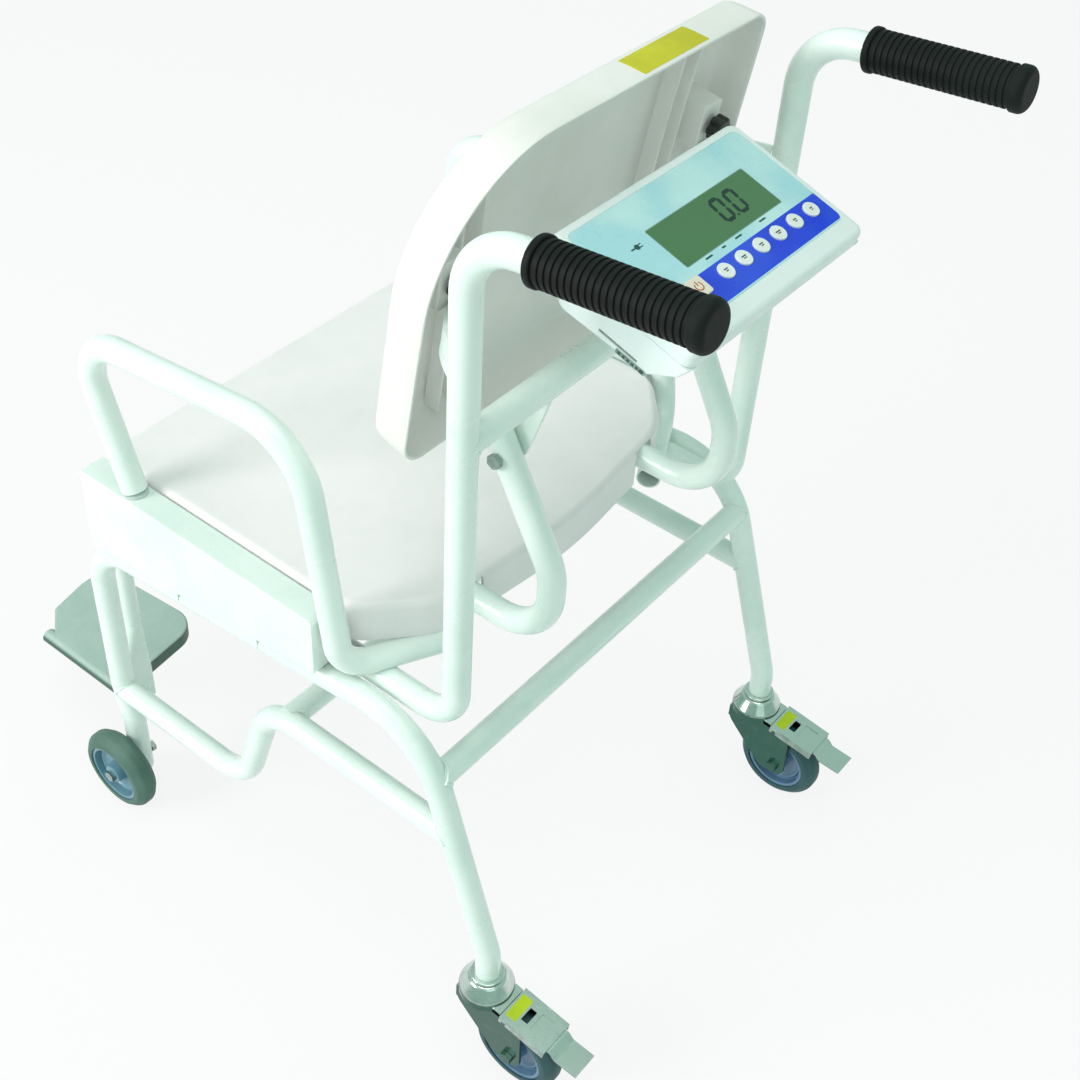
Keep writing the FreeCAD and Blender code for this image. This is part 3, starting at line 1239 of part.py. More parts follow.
def make_casters():
    stem_y = behind("rear_leg_behind")
    axle_y = behind("rear_leg_behind + caster_trail")

    # Fixed stem: a plug in the leg, a collar under it and a king pin below.
    plug = "tube_radius - tube_wall - running_gap"
    collar_low = "rear_leg_end_z - rest_gap - collar_height"
    pin_low = "head_bottom_z - rest_gap - 4"
    stem = turned("caster_stem", [
        ("0", pin_low),
        ("king_pin_radius + 4", pin_low),
        ("king_pin_radius + 4", "head_bottom_z - rest_gap"),
        ("king_pin_radius", "head_bottom_z - rest_gap"),
        ("king_pin_radius", collar_low),
        ("collar_radius", collar_low, "1"),
        ("collar_radius", "collar_height + " + collar_low, "1"),
        (plug, "collar_height + " + collar_low),
        (plug, "rear_leg_end_z + 14"),
        ("0", "rear_leg_end_z + 14"),
    ])
    place(stem, "base_half", stem_y, "0")
    node("caster_stems", group("caster_stem_set", stem, mirrored("caster_stem_mirror", stem)))

    # Swivelling fork: a domed cup and two cheeks that trail to the axle.
    cup = turned("fork_cup", [
        ("king_pin_radius + running_gap", "head_bottom_z"),
        ("head_radius", "head_bottom_z"),
        ("head_radius", "head_bottom_z + 9", "6"),
        ("collar_radius + 1", "head_top_z", "5"),
        ("king_pin_radius + running_gap", "head_top_z"),
    ])
    place(cup, "base_half", stem_y, "0")
    cheeks = []
    cheek_inner = "caster_wheel_width / 2 + fork_side_gap"
    for side, start in (("outer", "base_half + " + cheek_inner),
                        ("inner", "base_half - fork_plate - (%s)" % cheek_inner)):
        body = new_body("fork_cheek_" + side)
        profile = new_sketch(body, "YZ", start)
        outline(profile, [
            (behind("rear_leg_behind - head_radius * 0.85"), "head_bottom_z + 1"),
            (behind("rear_leg_behind - head_radius * 0.85"), "head_bottom_z - crown_skirt", "24"),
            (behind("rear_leg_behind + caster_trail - fork_tip_radius - 4"),
             "wheel_radius - fork_tip_radius", "fork_tip_radius"),
            (behind("rear_leg_behind + caster_trail + fork_tip_radius + 2"),
             "wheel_radius - fork_tip_radius", "fork_tip_radius"),
            (behind("rear_leg_behind + caster_trail + fork_tip_radius"),
             "head_bottom_z - cheek_top_fall", "fork_tip_radius / 2"),
            (behind("rear_leg_behind + head_radius * 0.8"),
             "head_bottom_z + 1"),
        ])
        circle(profile, axle_y, "wheel_radius", "axle_radius + bolt_gap")
        extrude(body, profile, "fork_plate")
        cheeks.append(body)
    cheek_outer = "(%s + fork_plate)" % cheek_inner
    crown = box("fork_crown", ("base_half - " + cheek_outer,
                               behind("rear_leg_behind - head_radius * 0.85"),
                               "head_bottom_z + 1 - crown_thickness"),
                ("2 * " + cheek_outer, "head_radius * 1.65", "crown_thickness"))
    skirt = box("fork_skirt", ("base_half - " + cheek_outer,
                               behind("rear_leg_behind - head_radius * 0.85"),
                               "head_bottom_z + 1 - crown_skirt"),
                ("2 * " + cheek_outer, "fork_plate", "crown_skirt"))
    pivot = (behind("rear_leg_behind + pedal_pivot"), "pedal_pivot_z")
    rivets = [cylinder("pedal_rivet_" + side, "pedal_pin_radius", "fork_plate + pedal_sheet + 1",
                       (x, pivot[0], pivot[1]), X_AXIS)
              for side, x in (("outer", "base_half + " + cheek_inner),
                              ("inner", "base_half - pedal_half - 1 + rest_gap"))]
    solid = fuse("caster_fork_solid", cup, cheeks[0], cheeks[1], crown, skirt, *rivets)
    washer_room = cylinder("king_pin_recess", "king_pin_radius + 4 + rest_gap",
                           "2 * crown_thickness",
                           ("base_half", stem_y, "head_bottom_z - 2 * crown_thickness"))
    pin_bore = cylinder("king_pin_bore", "king_pin_radius + running_gap", "2 * crown_thickness",
                        ("base_half", stem_y, "head_bottom_z - crown_thickness"))
    fork = cut("caster_fork", solid, washer_room, pin_bore)
    head_start = "base_half + %s + rest_gap" % cheek_outer
    nut_start = "base_half - %s - rest_gap - bolt_head_height" % cheek_outer
    shaft = cylinder("caster_axle_shaft", "axle_radius",
                     "2 * (%s + rest_gap + bolt_head_height)" % cheek_outer,
                     (nut_start, axle_y, "wheel_radius"), X_AXIS)
    head = hexagon("caster_axle_head", "bolt_head_radius", "bolt_head_height",
                   (head_start, axle_y, "wheel_radius"), X_AXIS)
    nut = hexagon("caster_axle_nut", "bolt_head_radius", "bolt_head_height",
                  (nut_start, axle_y, "wheel_radius"), X_AXIS)
    axle = fuse("caster_axle", shaft, head, nut)
    pair("caster_fork", group("caster_fork_set", fork, axle))

    # Brake pedal: a flanged plate over the fork, with a stepped foot tab behind it.
    pedal = new_body("brake_pedal")
    top = new_sketch(pedal, "XY", "0")
    rectangle(top, "0 - pedal_half", "pedal_half", "0", "pedal_length")
    extrude(pedal, top, "pedal_sheet", backwards=True)
    flanges = new_sketch(pedal, "XY", "0 - pedal_sheet / 2")
    rectangle(flanges, "pedal_half - pedal_sheet", "pedal_half", "0", "pedal_length")
    rectangle(flanges, "0 - pedal_half", "pedal_sheet - pedal_half", "0", "pedal_length")
    extrude(pedal, flanges, "pedal_flange - pedal_sheet / 2", backwards=True)
    window = new_sketch(pedal, "XY", "0")
    rectangle(window, "0 - pedal_window_half", "pedal_window_half", "pedal_window_start",
              "pedal_window_start + pedal_window_length", "pedal_corner / 2")
    extrude(pedal, window, "2 * pedal_sheet", kind="Pocket")
    dish = new_sketch(pedal, "XY", "0")
    rectangle(dish, "0 - pedal_dish_half", "pedal_dish_half", "pedal_dish_start",
              "pedal_dish_start + pedal_dish_length", "pedal_corner / 2")
    extrude(pedal, dish, "pedal_dish_depth", kind="Pocket")
    place(pedal, "base_half", behind("rear_leg_behind + pedal_start"), "pedal_z", X_AXIS,
          "0 - pedal_slope")
    under = "(pedal_z - (%s - pedal_start) * tan(pedal_slope) - 1.4 * pedal_sheet)"
    tab = strip("pedal_tab", [
        (behind("rear_leg_behind + pedal_tab_start"), under % "pedal_tab_start"),
        (behind("rear_leg_behind + pedal_tab_step"), under % "pedal_tab_step", "2 * pedal_sheet"),
        (behind("rear_leg_behind + pedal_tab_step + pedal_riser"),
         "pedal_tab_z + pedal_riser / 4", "2 * pedal_sheet"),
        (behind("rear_leg_behind + pedal_tab_end"), "pedal_tab_z"),
    ], "base_half", "pedal_tab_width", "pedal_sheet")
    bored = cylinder("pedal_rivet_bore", "pedal_pin_radius + running_gap", "4 * pedal_half",
                     ("base_half - 2 * pedal_half", pivot[0], pivot[1]), X_AXIS)
    pair("brake_pedal", cut("brake_pedal_bored", fuse("brake_pedal_whole", pedal, tab), bored))

    tyre, hub = wheel("caster_wheel", "caster_wheel_width", "base_half", axle_y)
    pair("caster_tyre", tyre)
    pair("caster_hub", hub)


# --- Build, check and write --------------------------------------------------------------------

def check_document():
    for thing in doc.Objects:
        if "Invalid" in thing.State or "Error" in thing.State:
            raise RuntimeError("%s failed: %s" % (thing.Name, thing.State))
    for name, thing in NODES.items():
        if thing.Shape.isNull() or not thing.Shape.isValid() or not thing.Shape.Solids:
            raise RuntimeError("%s has no valid solid" % name)


make_base()
make_load_cells()
make_housing()
make_weigh_beam("beam_front", "front_beam_ahead", "front_arm_reach")
make_weigh_beam("beam_rear", "rear_beam_ahead", "arm_margin")
make_handles()
make_grip()
lug = make_back_supports()
make_armrest()
make_seat()
make_backrest()
make_brackets(lug)
make_knobs()
make_front_case()
make_overlay()
make_display()
make_board()
make_rear_case()
make_keys()
make_indicator_post()
make_hanger()
make_footplate()
make_front_wheels()
make_casters()
doc.recompute()
check_document()

os.makedirs("parts", exist_ok=True)
for name, thing in NODES.items():
    thing.Shape.exportStep("parts/%s.step" % name)
print("%d nodes, %d solids" % (len(NODES), sum(len(thing.Shape.Solids) for thing in NODES.values())))
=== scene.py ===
import json
import math
import bmesh
import bpy
import numpy as np
from mathutils import Matrix, Vector


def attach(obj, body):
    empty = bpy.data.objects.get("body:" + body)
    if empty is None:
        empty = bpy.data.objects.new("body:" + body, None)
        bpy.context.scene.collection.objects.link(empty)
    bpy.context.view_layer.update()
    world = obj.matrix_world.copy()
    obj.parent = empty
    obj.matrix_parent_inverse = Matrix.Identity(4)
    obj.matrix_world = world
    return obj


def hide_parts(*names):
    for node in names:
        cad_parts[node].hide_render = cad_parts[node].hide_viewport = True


# Wheeled chair scale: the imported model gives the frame, and this script adds finishes and details.

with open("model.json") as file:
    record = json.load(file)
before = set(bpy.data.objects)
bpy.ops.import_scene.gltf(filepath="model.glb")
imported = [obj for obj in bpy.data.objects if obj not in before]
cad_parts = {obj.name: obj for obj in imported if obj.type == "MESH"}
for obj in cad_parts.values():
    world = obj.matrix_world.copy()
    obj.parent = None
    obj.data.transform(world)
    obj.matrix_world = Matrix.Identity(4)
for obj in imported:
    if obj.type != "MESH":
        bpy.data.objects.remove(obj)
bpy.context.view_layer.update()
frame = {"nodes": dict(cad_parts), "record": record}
nodes = frame["nodes"]
print("frame loaded:", len(nodes), "nodes")


# A colour of six hex digits, turned into the linear values that shaders take.
def srgb(hexText):
    channels = [int(hexText[i:i + 2], 16) / 255 for i in (0, 2, 4)]
    linear = [c / 12.92 if c <= 0.04045 else ((c + 0.055) / 1.055) ** 2.4 for c in channels]
    return (*linear, 1.0)


# ---- shader helpers: each adds one node, and takes sockets or plain values as inputs
def feed(tree, value, socket):
    if isinstance(value, bpy.types.NodeSocket):
        tree.links.new(value, socket)
    else:
        socket.default_value = value


# Inputs are given by name, or as in0, in1 and so on by their place.
def addNode(tree, kind, settings=None, **inputs):
    made = tree.nodes.new("ShaderNode" + kind)
    for key, value in (settings or {}).items():
        setattr(made, key, value)
    for key, value in inputs.items():
        byPlace = key.startswith("in") and key[2:].isdigit()
        feed(tree, value, made.inputs[int(key[2:]) if byPlace else key.replace("_", " ")])
    return made


def maths(tree, operation, a, b=0.0):
    return addNode(tree, "Math", {"operation": operation}, in0=a, in1=b).outputs[0]


def mixColour(tree, factor, a, b):
    return addNode(tree, "Mix", {"data_type": "RGBA"}, in0=factor, in6=a, in7=b).outputs[2]


def ramp(tree, value, low, high, outLow=0.0, outHigh=1.0):
    return addNode(tree, "MapRange", {"interpolation_type": "SMOOTHSTEP"}, in0=value, in1=low,
                   in2=high, in3=outLow, in4=outHigh).outputs[0]


def noise(tree, coords, scale, detail=3.0, roughness=0.5):
    return addNode(tree, "TexNoise", Vector=coords, Scale=scale, Detail=detail,
                   Roughness=roughness).outputs[0]


def newGroup(name, inputs, outputs):
    tree = bpy.data.node_groups.new(name, "ShaderNodeTree")
    for label, kind, value in inputs:
        socket = tree.interface.new_socket(label, in_out="INPUT", socket_type="NodeSocket" + kind)
        if value is not None:
            socket.default_value = value
    for label, kind in outputs:
        tree.interface.new_socket(label, in_out="OUTPUT", socket_type="NodeSocket" + kind)
    return tree, tree.nodes.new("NodeGroupInput"), tree.nodes.new("NodeGroupOutput")


def useGroup(tree, group, **inputs):
    return addNode(tree, "Group", {"node_tree": group}, **inputs).outputs


# How far a face looks up: 1 on a level top, 0 on a wall, -1 on an underside.
def upwardPart(tree):
    normal = tree.nodes.new("ShaderNodeNewGeometry").outputs["Normal"]
    return addNode(tree, "SeparateXYZ", Vector=normal).outputs[2]


# Fine grain of a sprayed or moulded skin: two noises, one a sixth of the other's size.
def makeGrainGroup():
    tree, source, sink = newGroup(
        "skinGrain", [("Coords", "Vector", None), ("Scale", "Float", 900.0)], [("Height", "Float")])
    coarse = noise(tree, source.outputs[0], source.outputs[1], 2.0)
    fineScale = maths(tree, "MULTIPLY", source.outputs[1], 6.0)
    fine = noise(tree, source.outputs[0], fineScale, 1.0)
    total = maths(tree, "ADD", maths(tree, "MULTIPLY", coarse, 0.75),
                  maths(tree, "MULTIPLY", fine, 0.25))
    tree.links.new(total, sink.inputs[0])
    return tree


# Handling marks: broad smudges, and thin scratches where a stretched noise passes its middle value.
def makeWearGroup():
    tree, source, sink = newGroup(
        "handlingWear",
        [("Coords", "Vector", None), ("Scale", "Float", 9.0), ("Scratch Scale", "Float", 60.0)],
        [("Smudge", "Float"), ("Scratch", "Float")])
    broad = noise(tree, source.outputs[0], source.outputs[1], 5.0, 0.6)
    tree.links.new(ramp(tree, broad, 0.42, 0.66), sink.inputs[0])
    stretched = addNode(tree, "Mapping", Vector=source.outputs[0], Scale=(1.0, 0.12, 1.0),
                        Rotation=(0.4, 0.2, 0.7)).outputs[0]
    lines = noise(tree, stretched, source.outputs[2], 6.0, 0.7)
    distance = maths(tree, "ABSOLUTE", maths(tree, "SUBTRACT", lines, 0.5))
    thin = ramp(tree, distance, 0.0, 0.006, 1.0, 0.0)
    patches = noise(tree, source.outputs[0], maths(tree, "MULTIPLY", source.outputs[1], 1.7), 2.0)
    tree.links.new(maths(tree, "MULTIPLY", thin, ramp(tree, patches, 0.5, 0.62)), sink.inputs[1])
    return tree


# Dust gathers on faces that look up: the mask is the normal's upward part times a cloudy noise.
def makeDustGroup():
    tree, source, sink = newGroup(
        "settledDust", [("Coords", "Vector", None), ("Amount", "Float", 0.3)], [("Mask", "Float")])
    cloudy = ramp(tree, noise(tree, source.outputs[0], 34.0, 6.0, 0.65), 0.35, 0.7)
    mask = maths(tree, "MULTIPLY", ramp(tree, upwardPart(tree), 0.3, 0.95), cloudy)
    tree.links.new(maths(tree, "MULTIPLY", mask, source.outputs[1]), sink.inputs[0])
    return tree


grainGroup = makeGrainGroup()
wearGroup = makeWearGroup()
dustGroup = makeDustGroup()


def newMaterial(name):
    material = bpy.data.materials.new(name)
    material.use_nodes = True
    tree = material.node_tree
    tree.nodes.clear()
    surface = tree.nodes.new("ShaderNodeBsdfPrincipled")
    output = tree.nodes.new("ShaderNodeOutputMaterial")
    tree.links.new(surface.outputs[0], output.inputs[0])
    coords = tree.nodes.new("ShaderNodeTexCoord").outputs["Object"]
    return material, tree, surface, coords


def setBump(tree, surface, height, distance):
    made = addNode(tree, "Bump", Height=height, Distance=distance)
    tree.links.new(made.outputs[0], surface.inputs["Normal"])


# Roughness is a base value plus the mask times a share.
def setRoughness(tree, surface, mask, share, base):
    rough = maths(tree, "ADD", maths(tree, "MULTIPLY", mask, share), base)
    tree.links.new(rough, surface.inputs["Roughness"])


# ---- values that all skins share, and values that all metals share
skins = {"wearScale": 9.0, "smudgeRough": 0.10, "scratchTint": "8F938E", "coatRough": 0.12}
metals = {"wearScale": 55.0, "scratchScale": 240.0, "scratchRough": 0.2, "speckTint": "8C8A78",
          "brushScale": 900.0, "brushRough": 0.16, "brushDepth": 0.00006, "cloudScale": 70.0,
          "cloudDepth": 0.00012}


# One maker for every painted, moulded or rubber skin. Its values are in the finishes below.
def skinMaterial(name, base, shade, roughness, grainScale, grainDepth, scratch=0.0, dust=0.0,
                 coat=0.0, sheen=0.0, specular=0.5, dustColour="C9CCC6"):
    material, tree, surface, coords = newMaterial(name)
    wear = useGroup(tree, wearGroup, Coords=coords, Scale=skins["wearScale"])
    tone = mixColour(tree, wear[0], srgb(base), srgb(shade))
    if scratch:
        scratched = maths(tree, "MULTIPLY", wear[1], scratch)
        tone = mixColour(tree, scratched, tone, srgb(skins["scratchTint"]))
    if dust:
        settled = useGroup(tree, dustGroup, Coords=coords, Amount=dust)[0]
        tone = mixColour(tree, settled, tone, srgb(dustColour))
    tree.links.new(tone, surface.inputs["Base Color"])
    setRoughness(tree, surface, wear[0], skins["smudgeRough"], roughness)
    surface.inputs["Coat Weight"].default_value = coat
    surface.inputs["Coat Roughness"].default_value = skins["coatRough"]
    surface.inputs["Sheen Weight"].default_value = sheen
    surface.inputs["Specular IOR Level"].default_value = specular
    grain = useGroup(tree, grainGroup, Coords=coords, Scale=grainScale)[0]
    setBump(tree, surface, grain, grainDepth)
    return material


# Dark specks on metal, where a fine noise is high, cover a share of the tone beneath.
def addSpecks(tree, coords, tone, scale, low, share):
    speckle = ramp(tree, noise(tree, coords, scale, 4.0, 0.6), low, 0.72)
    return mixColour(tree, maths(tree, "MULTIPLY", speckle, share), tone, srgb(metals["speckTint"]))


# Plated or machined metal: a cloudy two-tone plate, fine scratches, and a lay of brushed lines.
def metalMaterial(name, base, shade, roughness, lay=(1.0, 1.0, 1.0)):
    material, tree, surface, coords = newMaterial(name)
    wear = useGroup(tree, wearGroup, Coords=coords, Scale=metals["wearScale"],
                    Scratch_Scale=metals["scratchScale"])
    tone = mixColour(tree, wear[0], srgb(base), srgb(shade))
    tone = addSpecks(tree, coords, tone, 420.0, 0.60, 0.25)
    tree.links.new(tone, surface.inputs["Base Color"])
    surface.inputs["Metallic"].default_value = 1.0
    stretched = addNode(tree, "Mapping", Vector=coords, Scale=lay).outputs[0]
    brushed = noise(tree, stretched, metals["brushScale"], 3.0)
    lineRough = maths(tree, "MULTIPLY", brushed, metals["brushRough"])
    setRoughness(tree, surface, wear[1], metals["scratchRough"],
                 maths(tree, "ADD", lineRough, roughness))
    setBump(tree, surface, brushed, metals["brushDepth"])
    return material


# Plated sheet metal with painted light and shade: faces that look up are painted bright, and sides
# and undersides are painted dark as shade.
def shadePaintedPlateMaterial(name, bright, dark, low, high, roughness, mottle):
    material, tree, surface, coords = newMaterial(name)
    cloud = noise(tree, coords, metals["cloudScale"], 4.0, 0.6)
    drift = maths(tree, "MULTIPLY", maths(tree, "SUBTRACT", cloud, 0.5), mottle)
    shifted = maths(tree, "ADD", upwardPart(tree), drift)
    # painted shade: the tone runs from the dark colour on sides and undersides to the bright colour
    # on faces that look up, with a cloudy drift
    tone = mixColour(tree, ramp(tree, shifted, low, high), srgb(dark), srgb(bright))
    tone = addSpecks(tree, coords, tone, 500.0, 0.58, 0.2)
    tree.links.new(tone, surface.inputs["Base Color"])
    surface.inputs["Metallic"].default_value = 1.0
    wear = useGroup(tree, wearGroup, Coords=coords, Scale=metals["wearScale"],
                    Scratch_Scale=metals["scratchScale"])
    setRoughness(tree, surface, wear[1], metals["scratchRough"], roughness)
    setBump(tree, surface, cloud, metals["cloudDepth"])
    return material


tread = {"wearScale": 12.0, "wornShare": 0.6, "wornTint": "B4C6BE", "dust": 0.2,
         "dustTint": "D5D8D2", "smudgeRough": 0.1, "grainScale": 420.0, "grainDepth": 0.0003}


# A moulded plate whose edges and underside are painted darker than its tread, as shade.
def treadMaterial(name, top, side, roughness):
    material, tree, surface, coords = newMaterial(name)
    wear = useGroup(tree, wearGroup, Coords=coords, Scale=tread["wearScale"])
    worn = mixColour(tree, maths(tree, "MULTIPLY", wear[0], tread["wornShare"]), srgb(top),
                     srgb(tread["wornTint"]))
    # painted shade: faces that look less up take the darker side colour
    tone = mixColour(tree, ramp(tree, upwardPart(tree), 0.3, 0.9), srgb(side), worn)
    settled = useGroup(tree, dustGroup, Coords=coords, Amount=tread["dust"])[0]
    tone = mixColour(tree, settled, tone, srgb(tread["dustTint"]))
    tree.links.new(tone, surface.inputs["Base Color"])
    setRoughness(tree, surface, wear[0], tread["smudgeRough"], roughness)
    grain = useGroup(tree, grainGroup, Coords=coords, Scale=tread["grainScale"])[0]
    setBump(tree, surface, grain, tread["grainDepth"])
    return material


# How far a value lies outside a span, negative inside it.
def spanDistance(tree, value, low, high):
    fromMiddle = maths(tree, "ABSOLUTE", maths(tree, "SUBTRACT", value, (low + high) / 2))
    return maths(tree, "SUBTRACT", fromMiddle, (high - low) / 2)


# ---- the indicator's sloping face, in metres: its centre, its tilt and its printed strip
face = {"centre": (0.0, 0.2948033, 0.8555), "tilt": 18.0,
        "stripAcross": (-0.1146, 0.0745), "stripAlong": (0.0205, 0.0512), "edge": 0.0001,
        "cloudScale": 16.0, "lineScale": 5200.0, "lineShare": 0.06, "roughness": 0.24,
        "smudgeRough": 0.12, "wearScale": 30.0, "grainScale": 1800.0, "grainDepth": 0.00003}


# The printed film: pale blue-green with faint lines, and a blue strip round the keys. A point is in
# the strip where the larger of its two distances outside the strip's spans is negative.
def filmMaterial():
    material, tree, surface, coords = newMaterial("printedFilm")
    local = addNode(tree, "Mapping", {"vector_type": "TEXTURE"}, Vector=coords,
                    Location=face["centre"],
                    Rotation=(-math.radians(face["tilt"]), 0.0, 0.0)).outputs[0]
    parts = addNode(tree, "SeparateXYZ", Vector=local).outputs
    cloud = ramp(tree, noise(tree, coords, face["cloudScale"], 2.0, 0.5), 0.35, 0.65)
    tone = mixColour(tree, cloud, srgb("CDEFF0"), srgb("B4E2EA"))
    lines = maths(tree, "SINE", maths(tree, "MULTIPLY", parts[0], face["lineScale"]))
    lined = ramp(tree, lines, 0.2, 1.0, 0.0, face["lineShare"])
    tone = mixColour(tree, lined, tone, srgb("8CC8D8"))
    outside = maths(tree, "MAXIMUM", spanDistance(tree, parts[0], *face["stripAcross"]),
                    spanDistance(tree, parts[1], *face["stripAlong"]))
    strip = ramp(tree, outside, -face["edge"], face["edge"], 1.0, 0.0)
    blue = mixColour(tree, cloud, srgb("2446E4"), srgb("3156E8"))
    tone = mixColour(tree, strip, tone, blue)
    tree.links.new(tone, surface.inputs["Base Color"])
    wear = useGroup(tree, wearGroup, Coords=coords, Scale=face["wearScale"])
    setRoughness(tree, surface, wear[0], face["smudgeRough"], face["roughness"])
    grain = useGroup(tree, grainGroup, Coords=coords, Scale=face["grainScale"])[0]
    setBump(tree, surface, grain, face["grainDepth"])
    return material


# A smooth, lightly coated cap.
def keyMaterial(name, base, shade):
    return skinMaterial(name, base, shade, 0.3, 1400.0, 0.00006, coat=0.1)


# ---- finishes: one for each of the record's slots, and extras for nodes that differ from theirs
finishes = {
    "frame_paint": skinMaterial("whitePowderCoat", "F0F9F4", "E6F3ED", 0.24, 700.0, 0.00008,
                                scratch=0.05, dust=0.03, coat=0.35),
    "seat_plastic": skinMaterial("whiteShellPlastic", "FBF2F4", "F6EEEF", 0.36, 1300.0, 0.00006,
                                 scratch=0.06, dust=0.05, coat=0.1),
    "case_plastic": skinMaterial("indicatorCasePlastic", "F1F7F6", "E7F0F0", 0.36, 1500.0, 0.00006,
                                 scratch=0.05),
    "grip_rubber": skinMaterial("blackGripRubber", "080D0B", "101815", 0.6, 1100.0, 0.00012,
                                dust=0.03, sheen=0.03, specular=0.22, dustColour="39443F"),
    "front_tyre_rubber": skinMaterial("frontTyreRubber", "4F6B62", "5F7D72", 0.55, 900.0, 0.0002,
                                      scratch=0.1, dust=0.2, specular=0.3, dustColour="8FA39A"),
    "caster_tyre_rubber": skinMaterial("casterTyreRubber", "35575C", "42686C", 0.5, 900.0, 0.0002,
                                       scratch=0.1, dust=0.15, specular=0.3, dustColour="7D9896"),
    "hub_plastic": skinMaterial("wheelHubPlastic", "5A8396", "6B97A8", 0.32, 1200.0, 0.0001,
                                scratch=0.1, dust=0.1, coat=0.3),
    # the footplate's dark edges and underside are painted shade
    "tread_plastic": treadMaterial("footplatePlastic", "ADC2BA", "3F6054", 0.45),
    "knob_plastic": skinMaterial("blackKnobPlastic", "101816", "1C2522", 0.4, 900.0, 0.0001,
                                 scratch=0.1, dust=0.05),
    "board_laminate": skinMaterial("circuitBoardLaminate", "1E5A3A", "174A30", 0.3, 300.0, 0.0001),
    "display_panel": skinMaterial("liquidCrystalWindow", "4C7B4C", "44724A", 0.2, 200.0, 0.00001,
                                  coat=0.5),
    "key_plastic": keyMaterial("whiteKeyPlastic", "F4F5F1", "EDECE6"),
    "overlay_film": filmMaterial(),
    # the zinc's bright tops and dark sides are painted light and shade
    "zinc": shadePaintedPlateMaterial("zincPlatePaintedShade", "DCE9E2", "5F7D72", -0.5, 0.8, 0.2, 1.2),
    "cell_metal": metalMaterial("machinedAluminium", "D5D8D6", "C6CAC8", 0.35,
                                lay=(1.0, 0.05, 1.0)),
}
extras = {
    # the forks' bright tops and dark sides are painted light and shade
    "caster_fork_": shadePaintedPlateMaterial("darkForkPlate", "DDEBE4", "3E6459", 0.0, 0.85, 0.16, 0.4),
    "caster_hub_": skinMaterial("casterHubPlastic", "5B7FA0", "6E93B4", 0.32, 1200.0, 0.0001,
                                scratch=0.1, dust=0.08, coat=0.3),
    "armrest_grommets": skinMaterial("paleGrommet", "D3DEDA", "C5D2CD", 0.45, 1200.0, 0.0001),
    "support_bolts": metalMaterial("platedBoltSteel", "9FB0A9", "86988F", 0.35),
    "load_cell_blocks": finishes["frame_paint"],
    "power_key": keyMaterial("creamPowerKey", "F6EBDD", "F2E2CF"),
}
slotOf = {part["node"]: part["material_slot"] for part in frame["record"]["subparts"]}
for name, piece in nodes.items():
    own = [finish for start, finish in extras.items() if name.startswith(start)]
    piece.data.materials.clear()
    piece.data.materials.append(own[0] if own else finishes[slotOf[name]])
print("finishes:", len(finishes) + len(extras))

# ---- camera: its place in metres, its lens and sensor in mm, and where its right and down point
view = {"place": (0.91976, 0.81666, 1.48402), "lens": 52.263, "sensor": 36.0, "farthest": 50.0,
        "right": (-0.62454, 0.77920, 0.05284), "down": (0.50292, 0.45301, -0.73610)}


def makeCamera():
    data = bpy.data.cameras.new("photoCamera")
    data.sensor_width = view["sensor"]
    data.lens = view["lens"]
    data.clip_end = view["farthest"]
    camera = bpy.data.objects.new("photoCamera", data)
    bpy.context.scene.collection.objects.link(camera)
    right = Vector(view["right"]).normalized()
    up = -Vector(view["down"])
    up = (up - right * up.dot(right)).normalized()
    turn = Matrix((right, up, right.cross(up))).transposed().to_4x4()
    camera.matrix_world = Matrix.Translation(view["place"]) @ turn
    bpy.context.scene.camera = camera


# The floor is partly white to the camera, in mirrors and through glass, and plain to other rays.
# The world is white to the camera and softly tinted to every other ray.
stage = {"half": 9.0, "under": 0.0004, "tone": (0.82, 0.83, 0.82, 1), "roughness": 0.6,
         "whiteShare": 0.85, "worldTone": (0.66, 0.94, 0.85, 1), "worldStrength": 0.58}


def makeFloor():
    half, low = stage["half"], -stage["under"]
    corners = [(-half, -half, low), (half, -half, low), (half, half, low), (-half, half, low)]
    mesh = bpy.data.meshes.new("studioFloor")
    mesh.from_pydata(corners, [], [(0, 1, 2, 3)])
    floor = bpy.data.objects.new("studioFloor", mesh)
    bpy.context.scene.collection.objects.link(floor)
    material, tree, surface, _ = newMaterial("floorWhite")
    surface.inputs["Base Color"].default_value = stage["tone"]
    surface.inputs["Roughness"].default_value = stage["roughness"]
    path = tree.nodes.new("ShaderNodeLightPath").outputs
    seen = maths(tree, "MAXIMUM", path["Is Camera Ray"],
                 maths(tree, "MAXIMUM", path["Is Glossy Ray"], path["Is Transmission Ray"]))
    white = addNode(tree, "Emission", Color=(1, 1, 1, 1), Strength=1.0).outputs[0]
    share = maths(tree, "MULTIPLY", seen, stage["whiteShare"])
    blended = addNode(tree, "MixShader", in0=share, in1=surface.outputs[0], in2=white).outputs[0]
    output = next(n for n in tree.nodes if n.type == "OUTPUT_MATERIAL")
    tree.links.new(blended, output.inputs[0])
    mesh.materials.append(material)


def makeWorld():
    world = bpy.data.worlds.new("studioWorld")
    bpy.context.scene.world = world
    world.use_nodes = True
    tree = world.node_tree
    tree.nodes.clear()
    soft = addNode(tree, "Background", Color=stage["worldTone"],
                   Strength=stage["worldStrength"]).outputs[0]
    path = tree.nodes.new("ShaderNodeLightPath").outputs
    white = addNode(tree, "Background", Color=(1, 1, 1, 1), Strength=1.0).outputs[0]
    blended = addNode(tree, "MixShader", in0=path["Is Camera Ray"], in1=soft, in2=white).outputs[0]
    output = tree.nodes.new("ShaderNodeOutputWorld")
    tree.links.new(blended, output.inputs[0])


